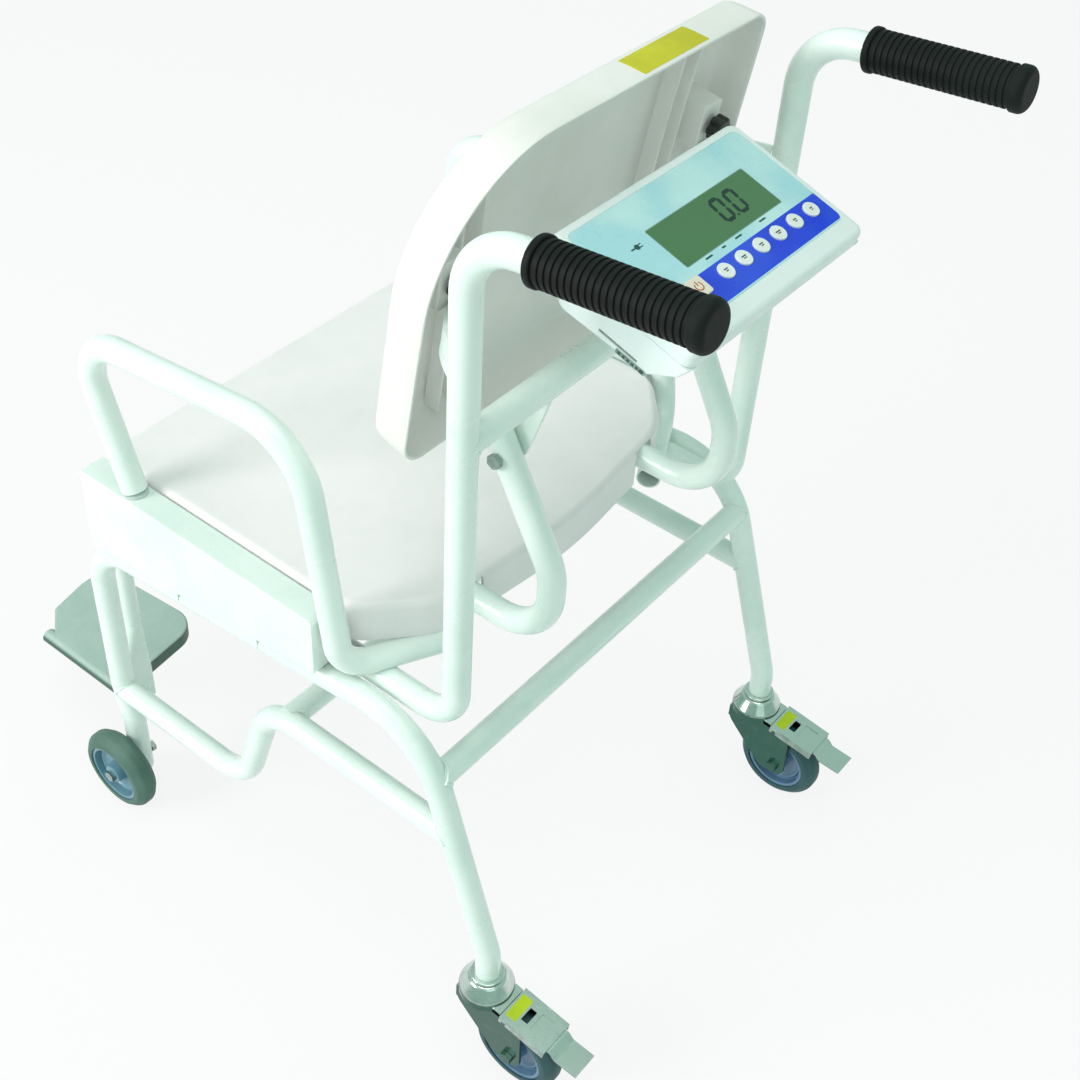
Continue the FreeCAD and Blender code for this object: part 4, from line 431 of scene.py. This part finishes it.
# Each lamp: place, point it looks at, width, height, watts, colour.
lamps = {
    "keyLamp": ((2.9, -1.5, 1.9), (0.0, 0.0, 0.5), 1.5, 1.5, 76.0, "FFFBFB"),
    "topLamp": ((0.4, 0.3, 3.4), (0.0, 0.0, 0.5), 2.0, 2.0, 26.0, "FFFCFA"),
    "rearLamp": ((1.6, 2.6, 2.0), (0.0, 0.0, 0.6), 2.2, 2.2, 8.0, "F2FBF8"),
}


def makeLamps():
    for name, (place, target, width, height, watts, tint) in lamps.items():
        data = bpy.data.lights.new(name, "AREA")
        data.shape = "RECTANGLE"
        data.size, data.size_y = width, height
        data.energy = watts
        data.color = srgb(tint)[:3]
        lamp = bpy.data.objects.new(name, data)
        bpy.context.scene.collection.objects.link(lamp)
        lamp.location = place
        aim = Vector(target) - Vector(place)
        lamp.rotation_euler = aim.to_track_quat("-Z", "Y").to_euler()


makeCamera()
makeFloor()
makeWorld()
makeLamps()
bpy.context.scene.view_settings.view_transform = "Standard"
print("camera, floor and lamps")

# ---- making pieces: points are worked out in millimetres on a local frame, then placed in metres
millimetre = 0.001


# Local axes of a plane turned about X by a tilt in degrees: across it, along it, and out of it.
def makeFrame(origin, tilt):
    turn = math.radians(tilt)
    along = np.array((0.0, math.cos(turn), math.sin(turn)))
    out = np.array((0.0, -math.sin(turn), math.cos(turn)))
    return np.array(origin), np.array((1.0, 0.0, 0.0)), along, out


def placeOn(local, points):
    origin, across, along, out = local
    points = np.asarray(points, dtype=float) * millimetre
    return origin + points[..., 0:1] * across + points[..., 1:2] * along + points[..., 2:3] * out


# Rows of points become strips of quads. Rows close on themselves, and both ends get a flat cap.
def surfaceFaces(rows, columns, offset=0, capped=True):
    index = np.arange(rows * columns).reshape(rows, columns) + offset
    wrapped = np.hstack([index, index[:, :1]])
    around = [wrapped[:-1, :-1], wrapped[:-1, 1:], wrapped[1:, 1:], wrapped[1:, :-1]]
    faces = np.stack(around, axis=-1).reshape(-1, 4).tolist()
    if capped:
        faces += [index[0, ::-1].tolist(), index[-1].tolist()]
    return faces


# One piece from one or more grids, with its finish and its body.
def makePiece(name, grids, material, body, capped=True, sharp=35.0):
    points, faces, offset = [], [], 0
    for grid in grids:
        points.append(grid.reshape(-1, 3))
        faces += surfaceFaces(grid.shape[0], grid.shape[1], offset, capped)
        offset += grid.shape[0] * grid.shape[1]
    mesh = bpy.data.meshes.new(name)
    mesh.from_pydata(np.vstack(points).tolist(), [], faces)
    work = bmesh.new()
    work.from_mesh(mesh)
    bmesh.ops.recalc_face_normals(work, faces=work.faces)
    work.to_mesh(mesh)
    work.free()
    mesh.shade_smooth()
    mesh.set_sharp_from_angle(angle=math.radians(sharp))
    mesh.materials.append(material)
    piece = bpy.data.objects.new(name, mesh)
    bpy.context.scene.collection.objects.link(piece)
    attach(piece, body)
    return piece


smallestRadius = 0.01


# A rounded rectangle: a quarter circle at each corner, each with its own radius, drawn inwards by
# an inset. It shortens each radius, and what is left of it past a radius moves that corner in.
def roundedRing(left, right, low, high, radii, inset=0.0, count=7):
    corners = ((left, low, 180, radii[0]), (right, low, 270, radii[1]),
               (right, high, 0, radii[2]), (left, high, 90, radii[3]))
    arcs = []
    for x, y, start, radius in corners:
        angle = np.radians(start + np.linspace(0.0, 90.0, count))
        middleX = x + radius if x == left else x - radius
        middleY = y + radius if y == low else y - radius
        reach = max(radius - inset, smallestRadius)
        slack = max(inset - radius, 0.0)
        middleX += slack if x == left else -slack
        middleY += slack if y == low else -slack
        arcs.append(np.column_stack([middleX + reach * np.cos(angle),
                                     middleY + reach * np.sin(angle)]))
    return np.vstack(arcs)


def atHeight(ring, height):
    return np.column_stack([ring, np.full(len(ring), height)])


# A block of rounded outline: its rings step up through (inset, height) pairs.
def stepGrid(left, right, low, high, radius, levels, count=7):
    radii = (radius,) * 4
    return np.array([atHeight(roundedRing(left, right, low, high, radii, inset, count), height)
                     for inset, height in levels])


# A flat chip with a softened upper edge.
def chip(left, right, low, high, radius, base, top, edge=0.06, count=5):
    return stepGrid(left, right, low, high, radius,
                    ((0.0, base), (0.0, top - edge), (edge, top)), count)


faceFrame = makeFrame(face["centre"], -face["tilt"])

# ---- display: a window with a line round it, and digits made of bars
display = {"window": (-78.0, 52.0, -31.5, 10.5), "windowRadius": 0.8, "windowTop": 0.22,
           "line": 0.9, "lineRadius": 1.4, "lineTop": 0.12, "base": -0.1,
           "digitTop": -22.8, "digitHeight": 25.5, "digitWidth": 14.2, "digitLefts": (16.2, 35.0),
           "stroke": 3.5, "gap": 0.2, "ink": (0.15, 0.3), "lean": 0.08,
           "point": 32.7, "pointHalf": 1.4, "pointWidth": 2.6}


# A bar of the digit: a long hexagon from one end to the other, pointed at both.
def barGrid(start, end, width):
    start, end = np.array(start, dtype=float), np.array(end, dtype=float)
    run = (end - start) / np.linalg.norm(end - start)
    side = np.array((-run[1], run[0])) * width / 2
    slope = run * width / 2
    ring = np.array((start, start + slope + side, end - slope + side, end, end - slope - side,
                     start + slope - side))
    return np.array([atHeight(ring, height) for height in display["ink"]])


# The digits are two zeros of six bars each. Each point's x is shifted by the lean times its y, and
# then mirrored, since the display is read from the rear.
def makeDisplay():
    left, right, low, high = display["window"]
    line, base = display["line"], display["base"]
    border = chip(left - line, right + line, low - line, high + line, display["lineRadius"], base,
                  display["lineTop"])
    makePiece("displayBezelLine", [placeOn(faceFrame, border)],
              skinMaterial("bezelInk", "6E8F7E", "5E8070", 0.3, 900.0, 0.00002), "chair")
    window = chip(left, right, low, high, display["windowRadius"], base, display["windowTop"])
    makePiece("displayWindow", [placeOn(faceFrame, window)], finishes["display_panel"], "chair")
    stroke = display["stroke"]
    y0 = display["digitTop"]
    y2 = y0 + display["digitHeight"] - stroke
    y1 = (y0 + y2) / 2
    bars = []
    for leftEdge in display["digitLefts"]:
        x0, x1 = leftEdge + stroke / 2, leftEdge + display["digitWidth"] - stroke / 2
        ends = [((x0, y0), (x1, y0)), ((x1, y0), (x1, y1)), ((x1, y1), (x1, y2)),
                ((x0, y2), (x1, y2)), ((x0, y1), (x0, y2)), ((x0, y0), (x0, y1))]
        for start, end in np.array(ends):
            step = display["gap"] * (end - start) / np.linalg.norm(end - start)
            bars.append(barGrid(start + step, end - step, stroke))
    point, half = display["point"], display["pointHalf"]
    bars.append(barGrid((point - half, y2), (point + half, y2), display["pointWidth"]))
    for bar in bars:
        bar[..., 0] = -(bar[..., 0] - display["lean"] * bar[..., 1])
    makePiece("displayDigits", [placeOn(faceFrame, bar) for bar in bars],
              skinMaterial("crystalInk", "17352E", "1E3F36", 0.35, 900.0, 0.00001), "chair")


# ---- small printed ticks under the window, each at an x with a width, and a plain socket sign
# beside it, whose parts are spans from its middle and a corner radius
prints = {"ticks": ((28.0, 9.0), (8.0, 5.0), (-12.0, 9.0), (-46.0, 9.0)), "tickY": 14.2,
          "tickHalf": 0.8, "tickRadius": 0.4, "signAt": (71.0, -25.0),
          "sign": ((-2.4, 2.6, -2.6, 2.6, 2.2), (2.4, 7.5, -0.7, 0.7, 0.5),
                   (-5.6, -2.2, -1.9, -0.9, 0.4), (-5.6, -2.2, 0.9, 1.9, 0.4)),
          "base": -0.1, "top": 0.08}


def makePrints():
    y, half = prints["tickY"], prints["tickHalf"]
    spans = [(x - wide / 2, x + wide / 2, y - half, y + half, prints["tickRadius"])
             for x, wide in prints["ticks"]]
    x, y = prints["signAt"]
    spans += [(x + left, x + right, y + low, y + high, radius)
              for left, right, low, high, radius in prints["sign"]]
    grids = [chip(*span, prints["base"], prints["top"]) for span in spans]
    makePiece("filmPrints", [placeOn(faceFrame, grid) for grid in grids],
              skinMaterial("printInk", "24504E", "2F5C5A", 0.4, 900.0, 0.00002), "chair")


# ---- key marks: two short bars on each round cap, and a ring with a bar on the power key
# A key's bar is a divisor of its mark's width and a span from the key's middle.
keys = {"firstX": 28.0, "pitch": 24.4, "y": 31.0, "top": 1.6, "rise": 0.1, "radius": 0.4,
        "widths": (5.0, 6.0, 5.0, 6.4, 4.4, 3.6), "bars": ((2, -1.5, -0.3), (3, 0.5, 1.5)),
        "power": (62.0, 29.0), "powerArc": (35.0, 325.0), "powerRadii": (4.3, 3.2),
        "powerBar": (-5.2, -0.6), "powerBarHalf": 0.6, "powerBarRise": 0.12}


def makeKeyMarks():
    ink = skinMaterial("keyInk", "3A4A5E", "46566A", 0.4, 900.0, 0.00002)
    base, top = keys["top"] - keys["rise"], keys["top"] + keys["rise"]
    for number, wide in enumerate(keys["widths"]):
        x, y = keys["firstX"] - keys["pitch"] * number, keys["y"]
        grids = [chip(x - wide / share, x + wide / share, y + low, y + high, keys["radius"], base,
                      top) for share, low, high in keys["bars"]]
        makePiece("keyMark_%d" % (number + 1), [placeOn(faceFrame, grid) for grid in grids], ink,
                  "key_%d_cap" % (number + 1))
    x, y = keys["power"]
    angle = np.radians(np.linspace(*keys["powerArc"], 30))
    outer, inner = keys["powerRadii"]
    section = ((outer, base), (outer, top), (inner, top), (inner, base))
    ring = np.stack([np.column_stack([x + radius * np.sin(angle), y - radius * np.cos(angle),
                                      np.full(len(angle), height)])
                     for radius, height in section], axis=1)
    half, (low, high) = keys["powerBarHalf"], keys["powerBar"]
    bar = chip(x - half, x + half, y + low, y + high, keys["radius"], base,
               keys["top"] + keys["powerBarRise"])
    makePiece("powerMark", [placeOn(faceFrame, ring), placeOn(faceFrame, bar)],
              skinMaterial("powerInk", "C9703A", "B96232", 0.4, 900.0, 0.00002), "power_key_cap")


# ---- side connector: a pale plate with slots and a small screw post, on the indicator's +X wall
connector = {"wall": 121.0, "sunk": 0.5, "proud": 0.7, "along": (14.0, 43.0),
             "depth": (43.0, 47.6), "radius": 1.0, "edge": 0.3,
             "slotsAlong": (16.5, 37.0), "slotPitch": 4.4, "slotWidth": 2.6,
             "slotDepth": (44.0, 46.6), "slotRadius": 0.4, "slotRise": 0.15, "slotEdge": 0.1,
             "postAlong": (37.4, 41.8), "postDepth": (43.8, 46.8), "postRadius": 1.4,
             "postRise": 0.6, "postEdge": 0.2}


def makeConnector():
    sideFrame = (faceFrame[0], faceFrame[2], -faceFrame[3], faceFrame[1])
    wall, outer = connector["wall"], connector["wall"] + connector["proud"]
    plate = chip(*connector["along"], *connector["depth"], connector["radius"],
                 wall - connector["sunk"], outer, connector["edge"])
    # The plate's tops are painted light and its sides and underside painted dark as shade.
    makePiece("connectorPlate", [placeOn(sideFrame, plate)],
              shadePaintedPlateMaterial("connectorShell", "B9CDC6", "6F8A82", -0.6, 0.6, 0.3, 0.7), "chair")
    slots = [chip(y, y + connector["slotWidth"], *connector["slotDepth"], connector["slotRadius"],
                  wall, outer + connector["slotRise"], connector["slotEdge"])
             for y in np.arange(*connector["slotsAlong"], connector["slotPitch"])]
    slots.append(chip(*connector["postAlong"], *connector["postDepth"], connector["postRadius"],
                      wall, outer + connector["postRise"], connector["postEdge"]))
    makePiece("connectorSlots", [placeOn(sideFrame, grid) for grid in slots],
              skinMaterial("connectorPlastic", "35504A", "44605A", 0.4, 900.0, 0.00004), "chair")


# ---- backrest shell, on its rim plane: across, up the recline, and out to the rear
# Its radii start at the low corner on -X and go round. Pairs are an inset and a depth.
back = {"origin": (0.0, 0.1658033, 0.716), "recline": 8.5, "half": 208.0, "low": -50.0,
        "high": 224.0, "radii": (28.0, 28.0, 125.0, 22.0), "depth": 41.0, "wall": 3.2, "crown": 5.0,
        "outer": ((14.0, 41.0), (8.5, 39.6), (4.6, 36.0), (2.4, 30.0), (1.2, 20.0), (0.6, 10.0),
                  (0.1, 2.0), (0.5, 0.5), (1.6, 0.0)),
        "innerRim": (2.8, 0.5), "innerBend": ((9.4, 35.4), (13.0, 37.0)), "innerInset": 18.0,
        "shares": (0.97, 0.9, 0.8, 0.65, 0.5, 0.35, 0.2, 0.05)}
backTurn = math.radians(back["recline"])
backFrame = (np.array(back["origin"]), np.array((1.0, 0.0, 0.0)),
             np.array((0.0, math.sin(backTurn), math.cos(backTurn))),
             np.array((0.0, math.cos(backTurn), -math.sin(backTurn))))


def backRing(inset, depth, share=1.0, count=18):
    low, high = back["low"], back["high"]
    ring = roundedRing(-back["half"], back["half"], low, high, back["radii"], inset, count)
    middle = np.array((0.0, (low + high) / 2))
    return atHeight(middle + (ring - middle) * share, -depth)


# Rings run from the middle of the front panel, out over its edge to the rim, and back along the
# inner wall to the middle again. The panel swells by the crown times one less the share squared.
# The inner wall takes four of the outer wall's pairs, each further in by the wall's thickness.
def makeBackShell():
    crown, wall, outer, shares = back["crown"], back["wall"], back["outer"], back["shares"]
    front, rear, inset = back["depth"], back["depth"] - wall, back["innerInset"]
    edge = outer[0][0]
    rings = [backRing(edge, front + crown * (1 - share ** 2), share) for share in shares[::-1]]
    rings += [backRing(*pair) for pair in outer]
    rings += [backRing(*back["innerRim"])]
    rings += [backRing(drawn + wall, depth) for drawn, depth in outer[6:2:-1]]
    rings += [backRing(*pair) for pair in back["innerBend"]]
    rings += [backRing(inset, rear)]
    rings += [backRing(inset, rear + crown * (1 - share ** 2), share) for share in shares]
    shell = makePiece("backShell", [placeOn(backFrame, np.array(rings))], backPlastic, "chair",
                      sharp=50.0)
    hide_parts("backrest_shell")


backPlastic = skinMaterial("backShellPlastic", "F8F2F0", "F2ECE8", 0.36, 1300.0, 0.00006,
                           scratch=0.05, dust=0.05, coat=0.1)
backDetails = {"bossAt": 170.0, "bossHalf": 14.0, "boss": (98.0, 143.0), "bossRadius": 5.0,
               "bossBase": -40.0, "bossTop": -8.0,
               "bossSteps": ((0.0, 1.5), (0.5, 0.4), (1.6, 0.0)),
               "ribs": (118.0, 141.0), "ribWidth": 3.0, "ribBase": -37.0, "ribTop": -22.0,
               "ribBevel": (0.8, 1.0), "ribSwing": 9.0, "ribFoot": 10.0, "ribHead": 6.0,
               "ribArcHead": 12.0, "ribCount": 24}


# A rib ends below the top wall. On the side with the large corner it ends below that corner's arc:
# the centre's height plus the root of the radius squared less the distance across squared.
def ribReach(ribX, side):
    if side < 0:
        return back["high"] - backDetails["ribHead"]
    radius = back["radii"][2]
    across = ribX + backDetails["ribSwing"] - back["half"] + radius
    return back["high"] - radius - backDetails["ribArcHead"] + math.sqrt(radius ** 2 - across ** 2)


# A rib swings outwards by the cube of its rise, and its section is a bar with two bevelled edges.
def ribGrid(ribX, side):
    rise = np.linspace(0.0, 1.0, backDetails["ribCount"])
    middle = side * (ribX + backDetails["ribSwing"] * rise ** 3)
    foot = back["low"] + backDetails["ribFoot"]
    ups = foot + (ribReach(ribX, side) - foot) * rise
    half, base, top = backDetails["ribWidth"] / 2, backDetails["ribBase"], backDetails["ribTop"]
    bevel, drop = backDetails["ribBevel"]
    section = ((-half, base), (-half, top - drop), (bevel - half, top), (half - bevel, top),
               (half, top - drop), (half, base))
    return np.stack([atHeight(np.column_stack([middle + aside, ups]), height)
                     for aside, height in section], axis=1)


# Two bosses for the knobs, and beside each a pair of ribs.
def makeBackDetails():
    half, (low, high), top = backDetails["bossHalf"], backDetails["boss"], backDetails["bossTop"]
    levels = [(0.0, backDetails["bossBase"])]
    levels += [(inset, top - drop) for inset, drop in backDetails["bossSteps"]]
    grids = []
    for side in (1.0, -1.0):
        x = side * backDetails["bossAt"]
        grids.append(stepGrid(x - half, x + half, low, high, backDetails["bossRadius"], levels))
        grids += [ribGrid(ribX, side) for ribX in backDetails["ribs"]]
    makePiece("backBosses", [placeOn(backFrame, grid) for grid in grids], backPlastic, "chair",
              sharp=50.0)


# ---- hand knobs: pairs are a share of the radius and a height
knob = {"at": (backDetails["bossAt"], 122.0), "radius": 12.0, "lobeDepth": 1.6, "lobes": 6,
        "count": 96,
        "profile": ((0.55, -4.6), (0.55, -3.8), (0.96, -3.6), (1.0, -2.6), (1.0, 5.4), (0.97, 6.6),
                    (0.9, 7.3), (0.5, 7.6), (0.45, 7.2), (0.1, 7.2))}


# The radius falls by a lobe's depth six times a turn: by the depth times the square of a wave that
# goes from 0 to 1.
def makeKnobs():
    knobX, knobUp = knob["at"]
    angle = np.linspace(0.0, 2 * math.pi, knob["count"], endpoint=False)
    lobed = knob["radius"] - knob["lobeDepth"] * (0.5 - 0.5 * np.cos(knob["lobes"] * angle)) ** 2
    across, up = lobed * np.cos(angle), lobed * np.sin(angle)
    grids = [np.array([atHeight(np.column_stack([side * knobX + share * across,
                                                 knobUp + share * up]), height)
                       for share, height in knob["profile"]]) for side in (1.0, -1.0)]
    knobs = makePiece("backKnobs", [placeOn(backFrame, grid) for grid in grids],
                      finishes["knob_plastic"], "chair")
    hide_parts("backrest_knobs")


# ---- brackets: a bent arm from each upright to its boss, and a lug plate on the upper cross tube
# The arm's points are across and out, and the lug's are to the rear and up.
brackets = {"arm": ((213.0, 38.0), (193.0, -6.2), (156.0, -6.2)), "armHeight": (78.0, 106.0),
            "armHalf": 1.6, "armCount": 20, "lugX": (116.0, 120.0), "bolt": (206.35, 668.0),
            "boltReach": 10.5, "cross": (230.3, 741.0), "lugHalf": 10.0, "lugShort": 8.0}


# The arm's middle line is a quadratic curve through three points, and its outline is that line
# moved to both sides by half the sheet.
def armOutline():
    start, middle, end = (np.array(point) for point in brackets["arm"])
    t = np.linspace(0.0, 1.0, brackets["armCount"])[:, None]
    line = (1 - t) ** 2 * start + 2 * t * (1 - t) * middle + t ** 2 * end
    run = np.gradient(line, axis=0)
    run /= np.linalg.norm(run, axis=1, keepdims=True)
    side = np.column_stack([-run[:, 1], run[:, 0]]) * brackets["armHalf"]
    return np.vstack([line + side, (line - side)[::-1]])


# The lug is a half circle round the bolt, drawn out to two points near the cross tube.
def lugOutline():
    bolt, cross = np.array(brackets["bolt"]), np.array(brackets["cross"])
    along = (cross - bolt) / np.linalg.norm(cross - bolt)
    aside = np.array((-along[1], along[0]))
    angle = np.radians(np.linspace(-90.0, 90.0, 15))[:, None]
    arc = bolt + brackets["boltReach"] * (np.sin(angle) * aside - np.cos(angle) * along)
    far = cross - brackets["lugShort"] * along
    half = brackets["lugHalf"] * aside
    return np.vstack([arc, far + half, far - half])


def makeBrackets():
    arm, lug = armOutline(), lugOutline()
    grids = [placeOn(backFrame, np.array([np.insert(arm * (sign, 1.0), 1, up, axis=1)
                                          for up in brackets["armHeight"]]))
             for sign in (1.0, -1.0)]
    grids += [millimetre * np.array([np.insert(lug, 0, sign * x, axis=1) for x in brackets["lugX"]])
              for sign in (1.0, -1.0)]
    plates = makePiece("bracketPlates", grids, finishes["frame_paint"], "chair")
    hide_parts("frame_brackets")


def labelMaterial(name, base, shade):
    return skinMaterial(name, base, shade, 0.35, 1200.0, 0.00004, scratch=0.1)


# ---- a blank label on the backrest's top wall
backLabel = {"across": (-120.0, -32.0), "deep": (4.0, 31.0), "rise": 0.25, "sunk": 0.3}


# The sheet follows the wall's draft: its height is the rim's height less the inset at that depth.
def makeBackLabel():
    across, deep = np.meshgrid(np.linspace(*backLabel["across"], 30),
                               np.linspace(*backLabel["deep"], 10), indexing="ij")
    insets, depths = np.array(back["outer"][::-1]).T
    up = back["high"] - np.interp(deep, depths, insets)
    top = np.stack([across, up + backLabel["rise"], -deep], axis=-1)
    under = np.stack([across, up - backLabel["sunk"], -deep], axis=-1)[:, ::-1]
    makePiece("backLabel", [placeOn(backFrame, np.concatenate([top, under], axis=1))],
              labelMaterial("yellowLabel", "D9D21A", "C8C01C"), "chair")


# ---- weld beads: where one tube meets another, a rounded bead follows the crossing curve
# Each joint gives the point where two tubes' middle lines cross, and then each tube's direction.
welds = {"radius": 12.7, "bead": 1.7, "ripples": 46, "rippleDepth": 0.12, "count": (120, 10),
         "joints": (((246.0, 232.46, 372.0), (0.0, 0.3135, -0.9496), (-1.0, 0.0, 0.0)),
                    ((218.0, 230.3, 741.0), (0.0, 0.0, 1.0), (-1.0, 0.0, 0.0)),
                    ((246.0, -154.7, 387.1), (0.0, 0.9942, 0.1075), (-1.0, 0.0, 0.0)),
                    ((246.0, 253.6, 308.0), (0.0, 0.3135, -0.9496), (0.0, -1.0, 0.0)),
                    ((246.0, -228.6, 158.0), (0.0, -0.15, 0.9887), (0.0, 1.0, 0.0)))}


# A point of the second tube's skin slides along that tube until it is one radius from the first
# tube's middle line, and the bead is a small circle carried round that curve, with ripples.
def beadGrid(middle, firstRun, secondRun):
    radius, bead = welds["radius"], welds["bead"]
    sideways = np.cross(secondRun, firstRun)
    sideways /= np.linalg.norm(sideways)
    upward = np.cross(sideways, secondRun)
    angle, turn = (np.linspace(0.0, 2 * math.pi, count, endpoint=False)[:, None]
                   for count in welds["count"])
    outward = np.cos(angle) * sideways + np.sin(angle) * upward
    skin = radius * outward
    flat = skin - (skin @ firstRun)[:, None] * firstRun
    slide = secondRun - (secondRun @ firstRun) * firstRun
    a, b = slide @ slide, 2 * flat @ slide
    c = (flat * flat).sum(axis=1) - radius ** 2
    reach = (-b + np.sqrt(np.clip(b * b - 4 * a * c, 0.0, None))) / (2 * a)
    curve = middle + skin + reach[:, None] * secondRun
    size = bead * (1 + welds["rippleDepth"] * np.sin(welds["ripples"] * angle))
    circle = np.cos(turn) * outward[:, None, :] + np.sin(turn) * secondRun
    return millimetre * (curve[:, None, :] + size[:, None, :] * circle)


def makeWelds():
    grids = []
    for middle, firstRun, secondRun in welds["joints"]:
        for side in (1.0, -1.0):
            mirrored = np.array((middle, firstRun, secondRun)) * (side, 1.0, 1.0)
            grid = beadGrid(*mirrored)
            grids.append(np.concatenate([grid, grid[:1]]))
    makePiece("weldBeads", grids, finishes["frame_paint"], "chair", capped=False)


# ---- a blank sticker on each brake pedal, and a plate between the pedal and the caster's head
# Both are chips on the pedal's slope: left, right, low, high, radius, base, top and edge.
pedals = {"x": 0.246, "y": 0.3353033, "z": 0.112, "slope": -7.0,
          "sticker": (-14.5, 14.5, 2.4, 14.8, 0.8, -0.2, 0.14, 0.06),
          "bridge": (-18.0, 18.0, -11.0, -0.6, 1.0, -1.9, -0.5, 0.3)}


def makePedalPieces():
    yellow = labelMaterial("limeLabel", "C9D916", "B7CC18")
    for name, sign in (("left", 1.0), ("right", -1.0)):
        local = makeFrame((sign * pedals["x"], pedals["y"], pedals["z"]), pedals["slope"])
        makePiece("pedalSticker_" + name, [placeOn(local, chip(*pedals["sticker"]))],
                  yellow, "brake_" + name)
        # The bridge plate takes the zinc's painted light and shade.
        makePiece("pedalBridge_" + name, [placeOn(local, chip(*pedals["bridge"]))],
                  finishes["zinc"], "caster_" + name)


makeDisplay()
makePrints()
makeKeyMarks()
makeConnector()
print("indicator dressed")
makeBackShell()
makeBackDetails()
makeKnobs()
makeBrackets()
makeBackLabel()
print("backrest made")
makeWelds()
makePedalPieces()
print("welds, stickers and bridge plates made")
